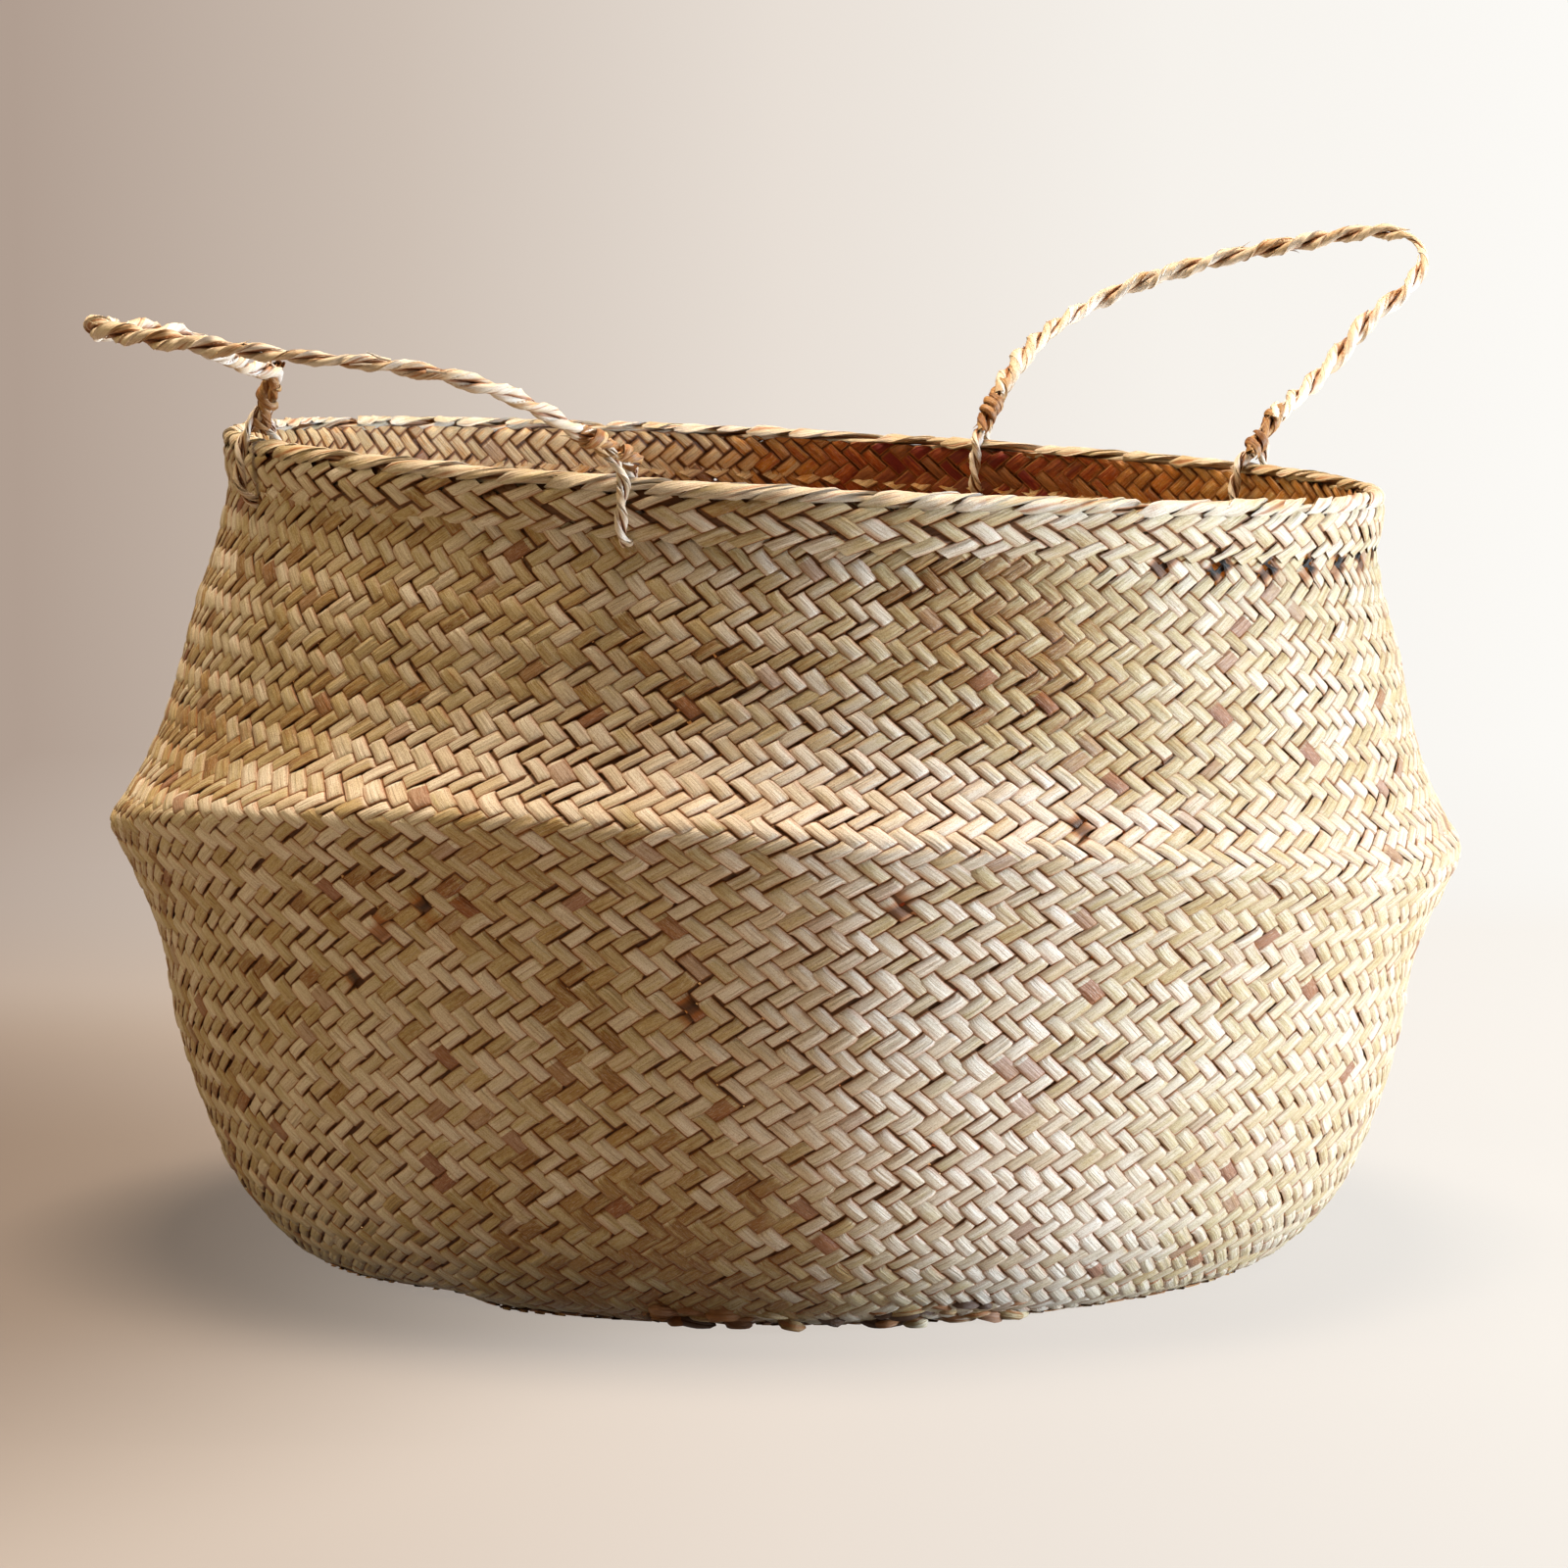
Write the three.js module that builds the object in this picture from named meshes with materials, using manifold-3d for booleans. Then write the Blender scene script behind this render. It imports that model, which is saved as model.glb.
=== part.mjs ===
// A plaited seagrass belly basket with two twisted rope handles.
// Millimetres, +Z up. The origin is the middle of the underside of the base mat.
// The front of the basket faces -Y. Angles round the basket are counted from the front, positive to +X.
import * as THREE from "three";
import { mergeVertices } from "three/addons/utils/BufferGeometryUtils.js";
import Module from "manifold-3d";

const manifold = await Module();
manifold.setup();

// Sizes of the basket's body
const baseRadius = 158; // flat part of the base that touches the floor
const baseThick = 3;
const heelRadius = 181.5; // where the turned-up edge becomes the wall
const lowerWaistRadius = 208; // under the belly
const ridgeRadius = 224.5; // tip of the belly crease
const ridgeHeight = 131;
const ridgeFrontRise = 31; // the crease runs higher across the front
const upperWaistRadius = 199;
const rimRadius = 187; // outside of the wall at its top edge
const rimHeight = 253.3; // top edge of the wall, under the border twist
const rimLean = 9.8; // the left of the rim stands this much higher, the right this much lower
const wallThick = 3;
const leastUprightShare = 0.55; // the wall counts as no flatter than this when its inside is set in
const seatGap = 0.3; // clearance between pieces that touch

// Off-centre places of the rings, from the middle of the base
const ridgeShiftX = -1.5;
const ridgeShiftY = 6;
const rimShiftX = 4.7;

// Soft dents and swellings of the plait
const shelfDepth = 7; // the upper wall is pushed in above the crease, at the front left
const shelfAngle = THREE.MathUtils.degToRad(-35);
const shelfPower = 4; // how narrow the dent is round the basket
const shelfSkew = 0.5; // under 1, the dent is deepest in its lower half
const crestAngle = THREE.MathUtils.degToRad(-22);
const crestPower = 1.5;
const keelRise = 3.5; // the lower wall is fuller along a soft upright line in front
const keelAngle = THREE.MathUtils.degToRad(6);
const keelWidth = THREE.MathUtils.degToRad(24);

// Rim band of strips folded down outside, and the twist laid on its edge
const bandThick = 2.7;
const bandDepth = 14;
const twistRadius = 2.75;

// Handles: a rope, and at each end an eye through the wall, closed by a splice
const ropeRadius = 3;
const eyeStrandRadius = 2;
const eyeRadius = 13.2; // middle of the strand, round the rim
const eyeTopClear = 0.7; // between the eye's strand and the border twist
const eyeHoleClear = 1.9; // round the strand, in the wall
const spliceRadius = 4.4;
const spliceEndRadius = 3.2;
const spliceLength = 15;
const spliceSwellShare = 0.3; // of its length, where a splice is full
const spliceTaperShare = 0.66; // where it starts to thin again

// A handle's route is given along the line through its eyes as shares of half of it, then out
// as shares of the reach and up as shares of the rise. Its first and last points aim the splices.
const leftHandle = {
  name: "left",
  front: THREE.MathUtils.degToRad(-16.5),
  rear: THREE.MathUtils.degToRad(-67),
  reach: 107,
  rise: 49,
  routeShares: [
    [-0.95, 0.01, 0.5],
    [-0.86, 0.15, 0.69],
    [-0.73, 0.3, 0.77],
    [-0.65, 0.41, 0.81],
    [-0.59, 0.62, 0.95],
    [-0.61, 0.84, 0.99],
    [-0.53, 0.97, 1.01],
    [-0.27, 1.01, 0.99],
    [0.14, 0.94, 0.95],
    [0.46, 0.81, 0.91],
    [0.72, 0.65, 0.87],
    [0.88, 0.48, 0.77],
    [0.93, 0.3, 0.62],
    [0.95, 0.14, 0.46],
  ],
};
const rightHandle = {
  name: "right",
  front: THREE.MathUtils.degToRad(124),
  rear: THREE.MathUtils.degToRad(160),
  reach: 119,
  rise: 86,
  routeShares: [
    [-1.03, 0.1, 0.32],
    [-1.13, 0.31, 0.48],
    [-1.19, 0.49, 0.57],
    [-1.16, 0.64, 0.65],
    [-0.93, 0.73, 0.75],
    [-0.48, 0.86, 0.87],
    [0.05, 0.94, 0.96],
    [0.52, 1, 1.02],
    [0.8, 0.98, 1],
    [0.99, 0.9, 0.92],
    [1.01, 0.78, 0.79],
    [0.93, 0.66, 0.68],
    [0.89, 0.5, 0.51],
    [0.9, 0.34, 0.4],
    [1, 0.1, 0.29],
  ],
};

// How finely round forms are divided
const sidesRound = 72;
const ropeSides = 8;
const ropeSteps = 44;
const eyeSides = 10;
const eyeSteps = 32;
const holeSides = 12;

// How much of the flare under the rim is left a fifth of the way down
const rimFlareShare = 0.27;
const rimFlareAtShare = 0.8;

// Outlines of the wall from the base to the crease, and from the crease to the rim:
// [share of the height, radius]
const lowerOutline = [
  [0, baseRadius + seatGap],
  [0.02, baseRadius + 0.3 * (heelRadius - baseRadius)],
  [0.065, baseRadius + 0.62 * (heelRadius - baseRadius)],
  [0.14, heelRadius],
  [0.31, heelRadius + 0.43 * (lowerWaistRadius - heelRadius)],
  [0.52, heelRadius + 0.78 * (lowerWaistRadius - heelRadius)],
  [0.74, lowerWaistRadius],
  [0.9, lowerWaistRadius + 0.56 * (ridgeRadius - lowerWaistRadius)],
  [1, ridgeRadius],
];
const upperOutline = [
  [0, ridgeRadius],
  [0.07, ridgeRadius - 0.21 * (ridgeRadius - upperWaistRadius)],
  [0.22, ridgeRadius - 0.56 * (ridgeRadius - upperWaistRadius)],
  [0.38, ridgeRadius - 0.8 * (ridgeRadius - upperWaistRadius)],
  [0.56, upperWaistRadius],
  [rimFlareAtShare, rimRadius + rimFlareShare * (upperWaistRadius - rimRadius)],
  [1, rimRadius],
];

const strawLight = new THREE.MeshStandardMaterial({ color: 0xcdb083, roughness: 0.75, metalness: 0 });
const strawDeep = new THREE.MeshStandardMaterial({ color: 0xb08a54, roughness: 0.8, metalness: 0 });
const ropeStraw = new THREE.MeshStandardMaterial({ color: 0xc4a06c, roughness: 0.7, metalness: 0 });
const spliceBrown = new THREE.MeshStandardMaterial({ color: 0x7a5228, roughness: 0.85, metalness: 0 });

const basket = new THREE.Group();

function addMesh(name, geometry, material) {
  const mesh = new THREE.Mesh(geometry, material);
  mesh.name = name;
  basket.add(mesh);
  return mesh;
}

// Swelling that is 1 at an angle and fades to 0 a quarter turn from it
function lobe(angle, at, power) {
  return Math.max(0, Math.cos(angle - at)) ** power;
}

function ridgeZ(angle) {
  return ridgeHeight + ridgeFrontRise * lobe(angle, crestAngle, crestPower);
}

function rimZ(angle) {
  return rimHeight - rimLean * Math.sin(angle);
}

// A point at a radius and a height, on the ring whose middle is (x, y)
function onRing(angle, radius, z, x, y) {
  return new THREE.Vector3(x + radius * Math.sin(angle), y - radius * Math.cos(angle), z);
}

// Point of the lower wall at a share of the way up to the crease
function lowerPoint(angle, share, radius) {
  const off = Math.atan2(Math.sin(angle - keelAngle), Math.cos(angle - keelAngle));
  const keel = keelRise * Math.exp(-((off / keelWidth) ** 2)) * Math.sin(Math.PI * share);
  return onRing(angle, radius + keel, share * ridgeZ(angle), ridgeShiftX * share, ridgeShiftY * share);
}

// Point of the upper wall at a share of the way from the crease to the rim
function upperPoint(angle, share, radius) {
  const z = ridgeZ(angle) + share * (rimZ(angle) - ridgeZ(angle));
  const dent = shelfDepth * lobe(angle, shelfAngle, shelfPower) * Math.sin(Math.PI * share ** shelfSkew) ** 2;
  const x = ridgeShiftX + share * (rimShiftX - ridgeShiftX);
  return onRing(angle, radius - dent, z, x, ridgeShiftY * (1 - share));
}

// Points of the wall's outside at an angle, and the same points moved in by the wall's thickness
function skinAt(angle, outline, pointAt) {
  const outside = outline.map(([share, radius]) => pointAt(angle, share, radius));
  const inward = new THREE.Vector3(-Math.sin(angle), Math.cos(angle), 0);
  const inside = outside.map((point, i) => {
    const along = outside[Math.min(i + 1, outside.length - 1)].clone().sub(outside[Math.max(i - 1, 0)]);
    const upright = Math.max(along.z / along.length(), leastUprightShare);
    return point.clone().addScaledVector(inward, wallThick / upright);
  });
  return { outside, inside };
}

// A closed ring from the closed section at each angle, its points in order seen from +angle
function ringFrom(sectionAt) {
  const sections = [];
  for (let i = 0; i < sidesRound; i++) {
    sections.push(sectionAt((2 * Math.PI * i) / sidesRound));
  }
  const count = sections[0].length;
  const positions = sections.flat().flatMap((p) => [p.x, p.y, p.z]);
  const index = [];
  for (let i = 0; i < sidesRound; i++) {
    const next = (i + 1) % sidesRound;
    for (let j = 0; j < count; j++) {
      const k = (j + 1) % count;
      index.push(i * count + j, next * count + j, next * count + k);
      index.push(i * count + j, next * count + k, i * count + k);
    }
  }
  const geometry = new THREE.BufferGeometry();
  geometry.setAttribute("position", new THREE.Float32BufferAttribute(positions, 3));
  geometry.setIndex(index);
  return geometry;
}

function solidOf(geometry) {
  const bare = geometry.clone();
  bare.deleteAttribute("normal");
  bare.deleteAttribute("uv");
  const merged = mergeVertices(bare);
  return new manifold.Manifold(
    new manifold.Mesh({
      numProp: 3,
      vertProperties: merged.attributes.position.array,
      triVerts: new Uint32Array(merged.index.array),
    }),
  );
}

function geometryOf(solid) {
  const mesh = solid.getMesh();
  const geometry = new THREE.BufferGeometry();
  geometry.setAttribute("position", new THREE.BufferAttribute(mesh.vertProperties, 3));
  geometry.setIndex(new THREE.BufferAttribute(mesh.triVerts, 1));
  return geometry;
}

function cutBy(geometry, cutters) {
  let solid = solidOf(geometry);
  for (const cutter of cutters) {
    solid = solid.subtract(solidOf(cutter));
  }
  return geometryOf(solid);
}

// Base mat: the flat round plait that the basket stands on
function baseMat() {
  const outline = [
    new THREE.Vector2(0, 0),
    new THREE.Vector2(baseRadius, 0),
    new THREE.Vector2(baseRadius, baseThick),
    new THREE.Vector2(0, baseThick),
  ];
  return new THREE.LatheGeometry(outline, sidesRound).rotateX(Math.PI / 2);
}

// Lower wall: from the turned-up edge of the base to the crease of the belly
function lowerWall() {
  return ringFrom((angle) => {
    const { outside, inside } = skinAt(angle, lowerOutline, lowerPoint);
    inside[0].copy(outside[0]).setZ(baseThick);
    inside[1].setZ(inside[1].z + baseThick);
    inside[2].setZ(inside[2].z + baseThick / 2);
    return [...outside, ...inside.reverse()];
  });
}

// Upper wall: from the crease to the edge under the border twist
function upperWall() {
  return ringFrom((angle) => {
    const { outside, inside } = skinAt(angle, upperOutline, upperPoint);
    for (const point of [outside[0], inside[0]]) {
      point.z += seatGap;
    }
    return [...outside, ...inside.reverse()];
  });
}

// Rim band: the strip ends folded over the rim and tucked in outside
function rimBand() {
  return ringFrom((angle) => {
    const height = rimZ(angle) - ridgeZ(angle);
    const low = 1 - bandDepth / height;
    const flare = (rimFlareShare * (upperWaistRadius - rimRadius)) / (1 - rimFlareAtShare);
    const inLow = upperPoint(angle, low, rimRadius + flare * (1 - low) + seatGap);
    const inTop = upperPoint(angle, 1, rimRadius + seatGap);
    const outward = new THREE.Vector3(Math.sin(angle), -Math.cos(angle), 0);
    const outLow = inLow.clone().addScaledVector(outward, bandThick);
    const outTop = inTop.clone().addScaledVector(outward, bandThick);
    return [inLow, outLow, outTop, inTop];
  });
}

// Middle of the rim's thickness, wall and band together
function rimMiddle(angle, below) {
  const radius = rimRadius + (seatGap + bandThick - wallThick) / 2;
  const point = onRing(angle, radius, rimZ(angle), rimShiftX, 0);
  point.z -= below;
  return point;
}

// Border twist: the cord of long strands laid along the top edge
function borderTwist() {
  return ringFrom((angle) => {
    const middle = rimMiddle(angle, -(seatGap + twistRadius));
    const outward = new THREE.Vector3(Math.sin(angle), -Math.cos(angle), 0);
    const points = [];
    for (let j = 0; j < ropeSides; j++) {
      const turn = (2 * Math.PI * j) / ropeSides + Math.PI / ropeSides;
      const point = middle.clone().addScaledVector(outward, twistRadius * Math.cos(turn));
      point.z += twistRadius * Math.sin(turn);
      points.push(point);
    }
    return points;
  });
}

// The eye goes round the rim, so its middle lies under the twist's top by what the strand needs
const eyeDrop = eyeRadius - eyeStrandRadius - eyeTopClear - seatGap - 2 * twistRadius;

// Frame of a handle: the line through its two eyes, with directions along, out and up
function handleFrame(handle) {
  const front = rimMiddle(handle.front, eyeDrop);
  const rear = rimMiddle(handle.rear, eyeDrop);
  const middle = front.clone().add(rear).multiplyScalar(0.5);
  const along = front.clone().sub(rear).normalize();
  const out = new THREE.Vector3(middle.x, middle.y, 0);
  out.addScaledVector(along, -out.dot(along)).normalize();
  const up = new THREE.Vector3().crossVectors(out, along);
  if (up.z < 0) {
    up.negate();
  }
  return { front, rear, middle, along, out, up, half: front.distanceTo(rear) / 2 };
}

// Point of a handle's route from its shares
function routePoint(frame, handle, [along, out, up]) {
  return frame.middle
    .clone()
    .addScaledVector(frame.along, along * frame.half)
    .addScaledVector(frame.out, out * handle.reach)
    .addScaledVector(frame.up, up * handle.rise);
}

// A shape's frame turned so that its own Z lies along a direction
function lieAlong(geometry, direction, at) {
  const turn = new THREE.Quaternion().setFromUnitVectors(new THREE.Vector3(0, 0, 1), direction);
  return geometry.applyQuaternion(turn).translate(at.x, at.y, at.z);
}

function eye(frame, at, strand) {
  const ring = new THREE.TorusGeometry(eyeRadius, strand, eyeSides, eyeSteps);
  return lieAlong(ring, frame.along, at);
}

// Where a splice starts on top of its eye's strand, and its direction
function spliceSeat(frame, handle, shares, at) {
  const start = at.clone().addScaledVector(frame.up, eyeRadius + eyeStrandRadius);
  return { start, direction: routePoint(frame, handle, shares).sub(start).normalize() };
}

// Splice: the wrapped and knotted strand ends that close an eye
function splice(frame, at, { start, direction }) {
  const outline = [
    new THREE.Vector2(0, 0),
    new THREE.Vector2(spliceEndRadius, 0),
    new THREE.Vector2(spliceRadius, spliceSwellShare * spliceLength),
    new THREE.Vector2(spliceRadius, spliceTaperShare * spliceLength),
    new THREE.Vector2(spliceEndRadius, spliceLength),
    new THREE.Vector2(0, spliceLength),
  ];
  const body = new THREE.LatheGeometry(outline, eyeSides).rotateX(Math.PI / 2);
  return cutBy(lieAlong(body, direction, start), [eye(frame, at, eyeStrandRadius + seatGap)]);
}

// Rope between the two splices, with flat ends that face them
function rope(frame, handle, ends) {
  const inner = handle.routeShares.slice(1, -1).map((shares) => routePoint(frame, handle, shares));
  const leads = ends.map(({ point, direction }) => point.clone().addScaledVector(direction, ropeRadius));
  const points = [ends[0].point, leads[0], ...inner, leads[1], ends[1].point];
  const curve = new THREE.CatmullRomCurve3(points, false, "centripetal");
  const section = new THREE.Shape();
  for (let j = 0; j < ropeSides; j++) {
    const turn = (2 * Math.PI * j) / ropeSides;
    const x = ropeRadius * Math.cos(turn);
    const y = ropeRadius * Math.sin(turn);
    if (j === 0) {
      section.moveTo(x, y);
    } else {
      section.lineTo(x, y);
    }
  }
  section.closePath();
  return new THREE.ExtrudeGeometry(section, {
    steps: ropeSteps,
    extrudePath: curve,
    bevelEnabled: false,
  });
}

const handles = [leftHandle, rightHandle];
const frames = handles.map(handleFrame);

// Holes through the wall and the band for the eyes' strands, cut with rods longer than both are thick
function eyeHoles() {
  const holes = [];
  const radius = eyeStrandRadius + eyeHoleClear;
  const length = 2 * eyeRadius;
  for (const frame of frames) {
    for (const at of [frame.front, frame.rear]) {
      const hole = new THREE.CylinderGeometry(radius, radius, length, holeSides).rotateX(Math.PI / 2);
      const low = at.clone().addScaledVector(frame.up, -eyeRadius);
      holes.push(lieAlong(hole, frame.out, low));
    }
  }
  return holes;
}

addMesh("base_mat", baseMat(), strawDeep);
addMesh("lower_wall", lowerWall(), strawLight);
addMesh("upper_wall", cutBy(upperWall(), eyeHoles()), strawLight);
addMesh("rim_band", cutBy(rimBand(), eyeHoles()), strawDeep);
addMesh("border_twist", borderTwist(), ropeStraw);

handles.forEach((handle, i) => {
  const frame = frames[i];
  const ends = [];
  for (const [side, at, shares] of [
    ["rear", frame.rear, handle.routeShares.at(0)],
    ["front", frame.front, handle.routeShares.at(-1)],
  ]) {
    const seat = spliceSeat(frame, handle, shares, at);
    addMesh(`${handle.name}_${side}_eye`, eye(frame, at, eyeStrandRadius), ropeStraw);
    addMesh(`${handle.name}_${side}_splice`, splice(frame, at, seat), spliceBrown);
    const point = seat.start.clone().addScaledVector(seat.direction, spliceLength + seatGap);
    ends.push({ point, direction: seat.direction });
  }
  addMesh(`${handle.name}_rope`, rope(frame, handle, ends), ropeStraw);
});

for (const frame of frames) {
  const middle = frame.middle.toArray().map((n) => n.toFixed(2));
  const along = frame.along.toArray().map((n) => n.toFixed(5));
  console.log("hinge through", middle.join(", "), "along", along.join(", "));
}

export default basket;
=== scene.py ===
# %% [markdown]
# # A plaited seagrass belly basket
# The basket is one plait of flat leaf strips. They leave the base slantwise, some leaning right and some
# leaning left, pass over two and under two of each other, and end folded over the rim. Two handles of
# twisted leaf are pulled through the wall under the rim. The plait could be faked with a picture on a
# smooth wall, but its dark gaps, crossing edges and ragged outline are what make a basket look real, so
# every strip here is a real ribbon that goes over and under its neighbours. The gaps are also painted
# darker, as shade.

# %% Load the measured frame
import math

import bpy
import numpy as np
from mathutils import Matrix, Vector


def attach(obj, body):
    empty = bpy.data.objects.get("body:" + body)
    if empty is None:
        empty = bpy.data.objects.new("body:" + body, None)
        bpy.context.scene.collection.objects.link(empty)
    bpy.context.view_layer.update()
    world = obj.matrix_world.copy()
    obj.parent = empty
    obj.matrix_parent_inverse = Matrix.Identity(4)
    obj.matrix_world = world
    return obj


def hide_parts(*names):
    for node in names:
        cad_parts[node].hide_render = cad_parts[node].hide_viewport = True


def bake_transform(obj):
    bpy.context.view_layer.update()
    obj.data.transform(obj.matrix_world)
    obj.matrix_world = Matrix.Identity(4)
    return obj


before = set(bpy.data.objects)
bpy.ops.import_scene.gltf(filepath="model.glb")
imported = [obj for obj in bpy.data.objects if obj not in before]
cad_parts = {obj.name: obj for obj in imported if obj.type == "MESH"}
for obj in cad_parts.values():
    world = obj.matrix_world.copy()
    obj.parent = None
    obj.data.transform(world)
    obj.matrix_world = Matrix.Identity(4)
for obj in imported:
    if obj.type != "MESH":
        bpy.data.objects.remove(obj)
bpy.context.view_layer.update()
MM = 0.001

# %% [markdown]
# ## The camera
# The photograph was taken from nearly two metres away with a long lens, a little above the rim. The
# camera was found by laying the round rim and the round foot over their ellipses in the photograph.
# A long lens matters here: a closer one would widen the belly and open the mouth too far.

# %% Place the camera
PHOTO_SIDE_PX = 1600
FOCAL_PX = 5992.7
SENSOR = 36.0
CAMERA_AT = Vector((-1.95, -1930.7, 356.0)) * MM
CAMERA_DOWN = 0.1062  # radians below level


def new_object(name, data):
    made = bpy.data.objects.new(name, data)
    bpy.context.scene.collection.objects.link(made)
    return made


camera = new_object("camera", bpy.data.cameras.new("camera"))
camera.data.sensor_width = SENSOR
camera.data.lens = FOCAL_PX / PHOTO_SIDE_PX * SENSOR
camera.location = CAMERA_AT
camera.rotation_euler = (math.pi / 2 - CAMERA_DOWN, 0, 0)
bpy.context.scene.camera = camera
print("lens", round(camera.data.lens, 1), "mm")

# %% [markdown]
# ## The shape of the wall
# The wall is round but not regular. It swells from the foot to a creased belly, turns in to a waist and
# ends in a rim that leans to one side. The crease runs higher across the front, the upper wall is pushed
# in above it, and the lower wall is bent along a soft keel a little right of the middle. These are the
# sizes of the solid model. Heights go up from the floor, and angles go round from the front, positive to
# the right.

# %% Sizes of the wall
BASE_RADIUS = 158 * MM
HEEL_RADIUS = 181.5 * MM
LOWER_WAIST_RADIUS = 208 * MM
RIDGE_RADIUS = 224.5 * MM
UPPER_WAIST_RADIUS = 199 * MM
RIM_RADIUS = 187 * MM
RIDGE_HEIGHT = 131 * MM
RIDGE_FRONT_RISE = 31 * MM
RIM_HEIGHT = 253.3 * MM
RIM_LEAN = 9.8 * MM
RIDGE_SHIFT_X = -1.5 * MM
RIDGE_SHIFT_Y = 6 * MM
RIM_SHIFT_X = 4.7 * MM
WALL_THICK = 3 * MM
BASE_THICK = 3 * MM
SHELF_DEPTH = 7 * MM
SHELF_ANGLE = math.radians(-28)
SHELF_POWER = 3
CREST_ANGLE = math.radians(-22)
CREST_POWER = 1.5
KEEL_RISE = 11 * MM
KEEL_ANGLE = math.radians(5)
KEEL_LEFT, KEEL_RIGHT = math.radians(15), math.radians(22)  # how far it fades to each side
KEEL_ROUND = 0.18  # of that, where the line is rounded
KEEL_FADE = 0.6  # power with which it fades towards the foot and the crease


def between(low, high, share):
    return low + share * (high - low)


def outline(*stages):
    """Points of an outline. A stage holds the radius where it starts, the one where it ends, and points:
    the share of the height and the share of the way between the two."""
    return [(at, between(low, high, share)) for low, high, points in stages for at, share in points]


LOWER_OUTLINE = outline(
    (BASE_RADIUS, HEEL_RADIUS, ((0, 0), (0.02, 0.3), (0.065, 0.62), (0.14, 1))),
    (HEEL_RADIUS, LOWER_WAIST_RADIUS, ((0.31, 0.43), (0.52, 0.78), (0.74, 1))),
    (LOWER_WAIST_RADIUS, RIDGE_RADIUS, ((0.9, 0.56), (1, 1))),
)
UPPER_OUTLINE = outline(
    (RIDGE_RADIUS, UPPER_WAIST_RADIUS, ((0, 0), (0.07, 0.21), (0.22, 0.56), (0.38, 0.8), (0.56, 1))),
    (UPPER_WAIST_RADIUS, RIM_RADIUS, ((0.8, 0.73), (1, 1))),
)

# %% Smooth the outlines and measure them
SHARES = np.linspace(0, 1, 240)


def steps_along(points):
    """Distance of each point of a line from its start."""
    return np.concatenate(([0], np.cumsum(np.linalg.norm(np.diff(points, axis=0), axis=1))))


def smooth_outline(points, height):
    """The radius at each share of the height, the share of the length there, and the whole length."""
    at, radius = np.array(points, float).T
    slope = np.gradient(radius, at)
    k = np.clip(np.searchsorted(at, SHARES, side="right") - 1, 0, len(at) - 2)
    step = at[k + 1] - at[k]
    t = (SHARES - at[k]) / step
    curve = (
        (1 + 2 * t) * (1 - t) ** 2 * radius[k]
        + t * (1 - t) ** 2 * step * slope[k]
        + t**2 * (3 - 2 * t) * radius[k + 1]
        + t**2 * (t - 1) * step * slope[k + 1]
    )
    length = steps_along(np.stack((curve, SHARES * height), axis=1))
    return curve, length / length[-1], length[-1]


lower_radius, lower_length, lower_total = smooth_outline(LOWER_OUTLINE, RIDGE_HEIGHT)
upper_radius, upper_length, upper_total = smooth_outline(UPPER_OUTLINE, RIM_HEIGHT - RIDGE_HEIGHT)
print("wall from base to crease", round(lower_total / MM), "mm, on to the rim", round(upper_total / MM), "mm")

# %% Find any point of the wall
def stacked(*values):
    """Values of one shape, or that spread to it, as the last axis of one array."""
    return np.stack(np.broadcast_arrays(*values), axis=-1)


def wrapped(angle):
    return np.arctan2(np.sin(angle), np.cos(angle))


def bell(off, size=1.0):
    return np.exp(-((off / size) ** 2))


def lobe(angle, at, power):
    return np.maximum(0, np.cos(angle - at)) ** power


def crest(angle):
    """1 where the crease runs highest, falling to 0 at the sides."""
    return lobe(angle, CREST_ANGLE, CREST_POWER)


def ridge_z(angle):
    return RIDGE_HEIGHT + RIDGE_FRONT_RISE * crest(angle)


def rim_z(angle):
    return RIM_HEIGHT - RIM_LEAN * np.sin(angle)


def on_ring(angle, radius, z, x=0.0, y=0.0):
    return stacked(x + radius * np.sin(angle), y - radius * np.cos(angle), z)


def lower_point(angle, length_share):
    share = np.interp(length_share, lower_length, SHARES)
    off = wrapped(angle - KEEL_ANGLE)
    away = np.where(off < 0, off / KEEL_LEFT, off / KEEL_RIGHT)
    away = np.hypot(away, KEEL_ROUND) - KEEL_ROUND
    keel = KEEL_RISE * np.exp(-away) * np.sin(np.pi * share) ** KEEL_FADE
    radius = np.interp(share, SHARES, lower_radius) + keel
    return on_ring(angle, radius, share * ridge_z(angle), RIDGE_SHIFT_X * share, RIDGE_SHIFT_Y * share)


def upper_point(angle, length_share):
    share = np.interp(length_share, upper_length, SHARES)
    dent = SHELF_DEPTH * lobe(angle, SHELF_ANGLE, SHELF_POWER) * np.sin(np.pi * np.sqrt(share)) ** 2
    radius = np.interp(share, SHARES, upper_radius) - dent
    z = between(ridge_z(angle), rim_z(angle), share)
    return on_ring(angle, radius, z, between(RIDGE_SHIFT_X, RIM_SHIFT_X, share), RIDGE_SHIFT_Y * (1 - share))


# %% [markdown]
# ## The plait as a lattice
# A slanted plait is a lattice. Give every right-leaning strip a number i and every left-leaning strip a
# number j. Strip i crosses strip j at the place where two counts, u round the basket and v up it, obey
# u - v = i and u + v = j. Over two and under two then depends only on j - i, which is why the pattern
# lies in level rows. A map from (u, v) to the wall carries the whole lattice round the curves. The strips
# crowd together across the front and back and spread at the sides, and the rows run closer where the
# wall is short, as they do on the real basket.

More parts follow.
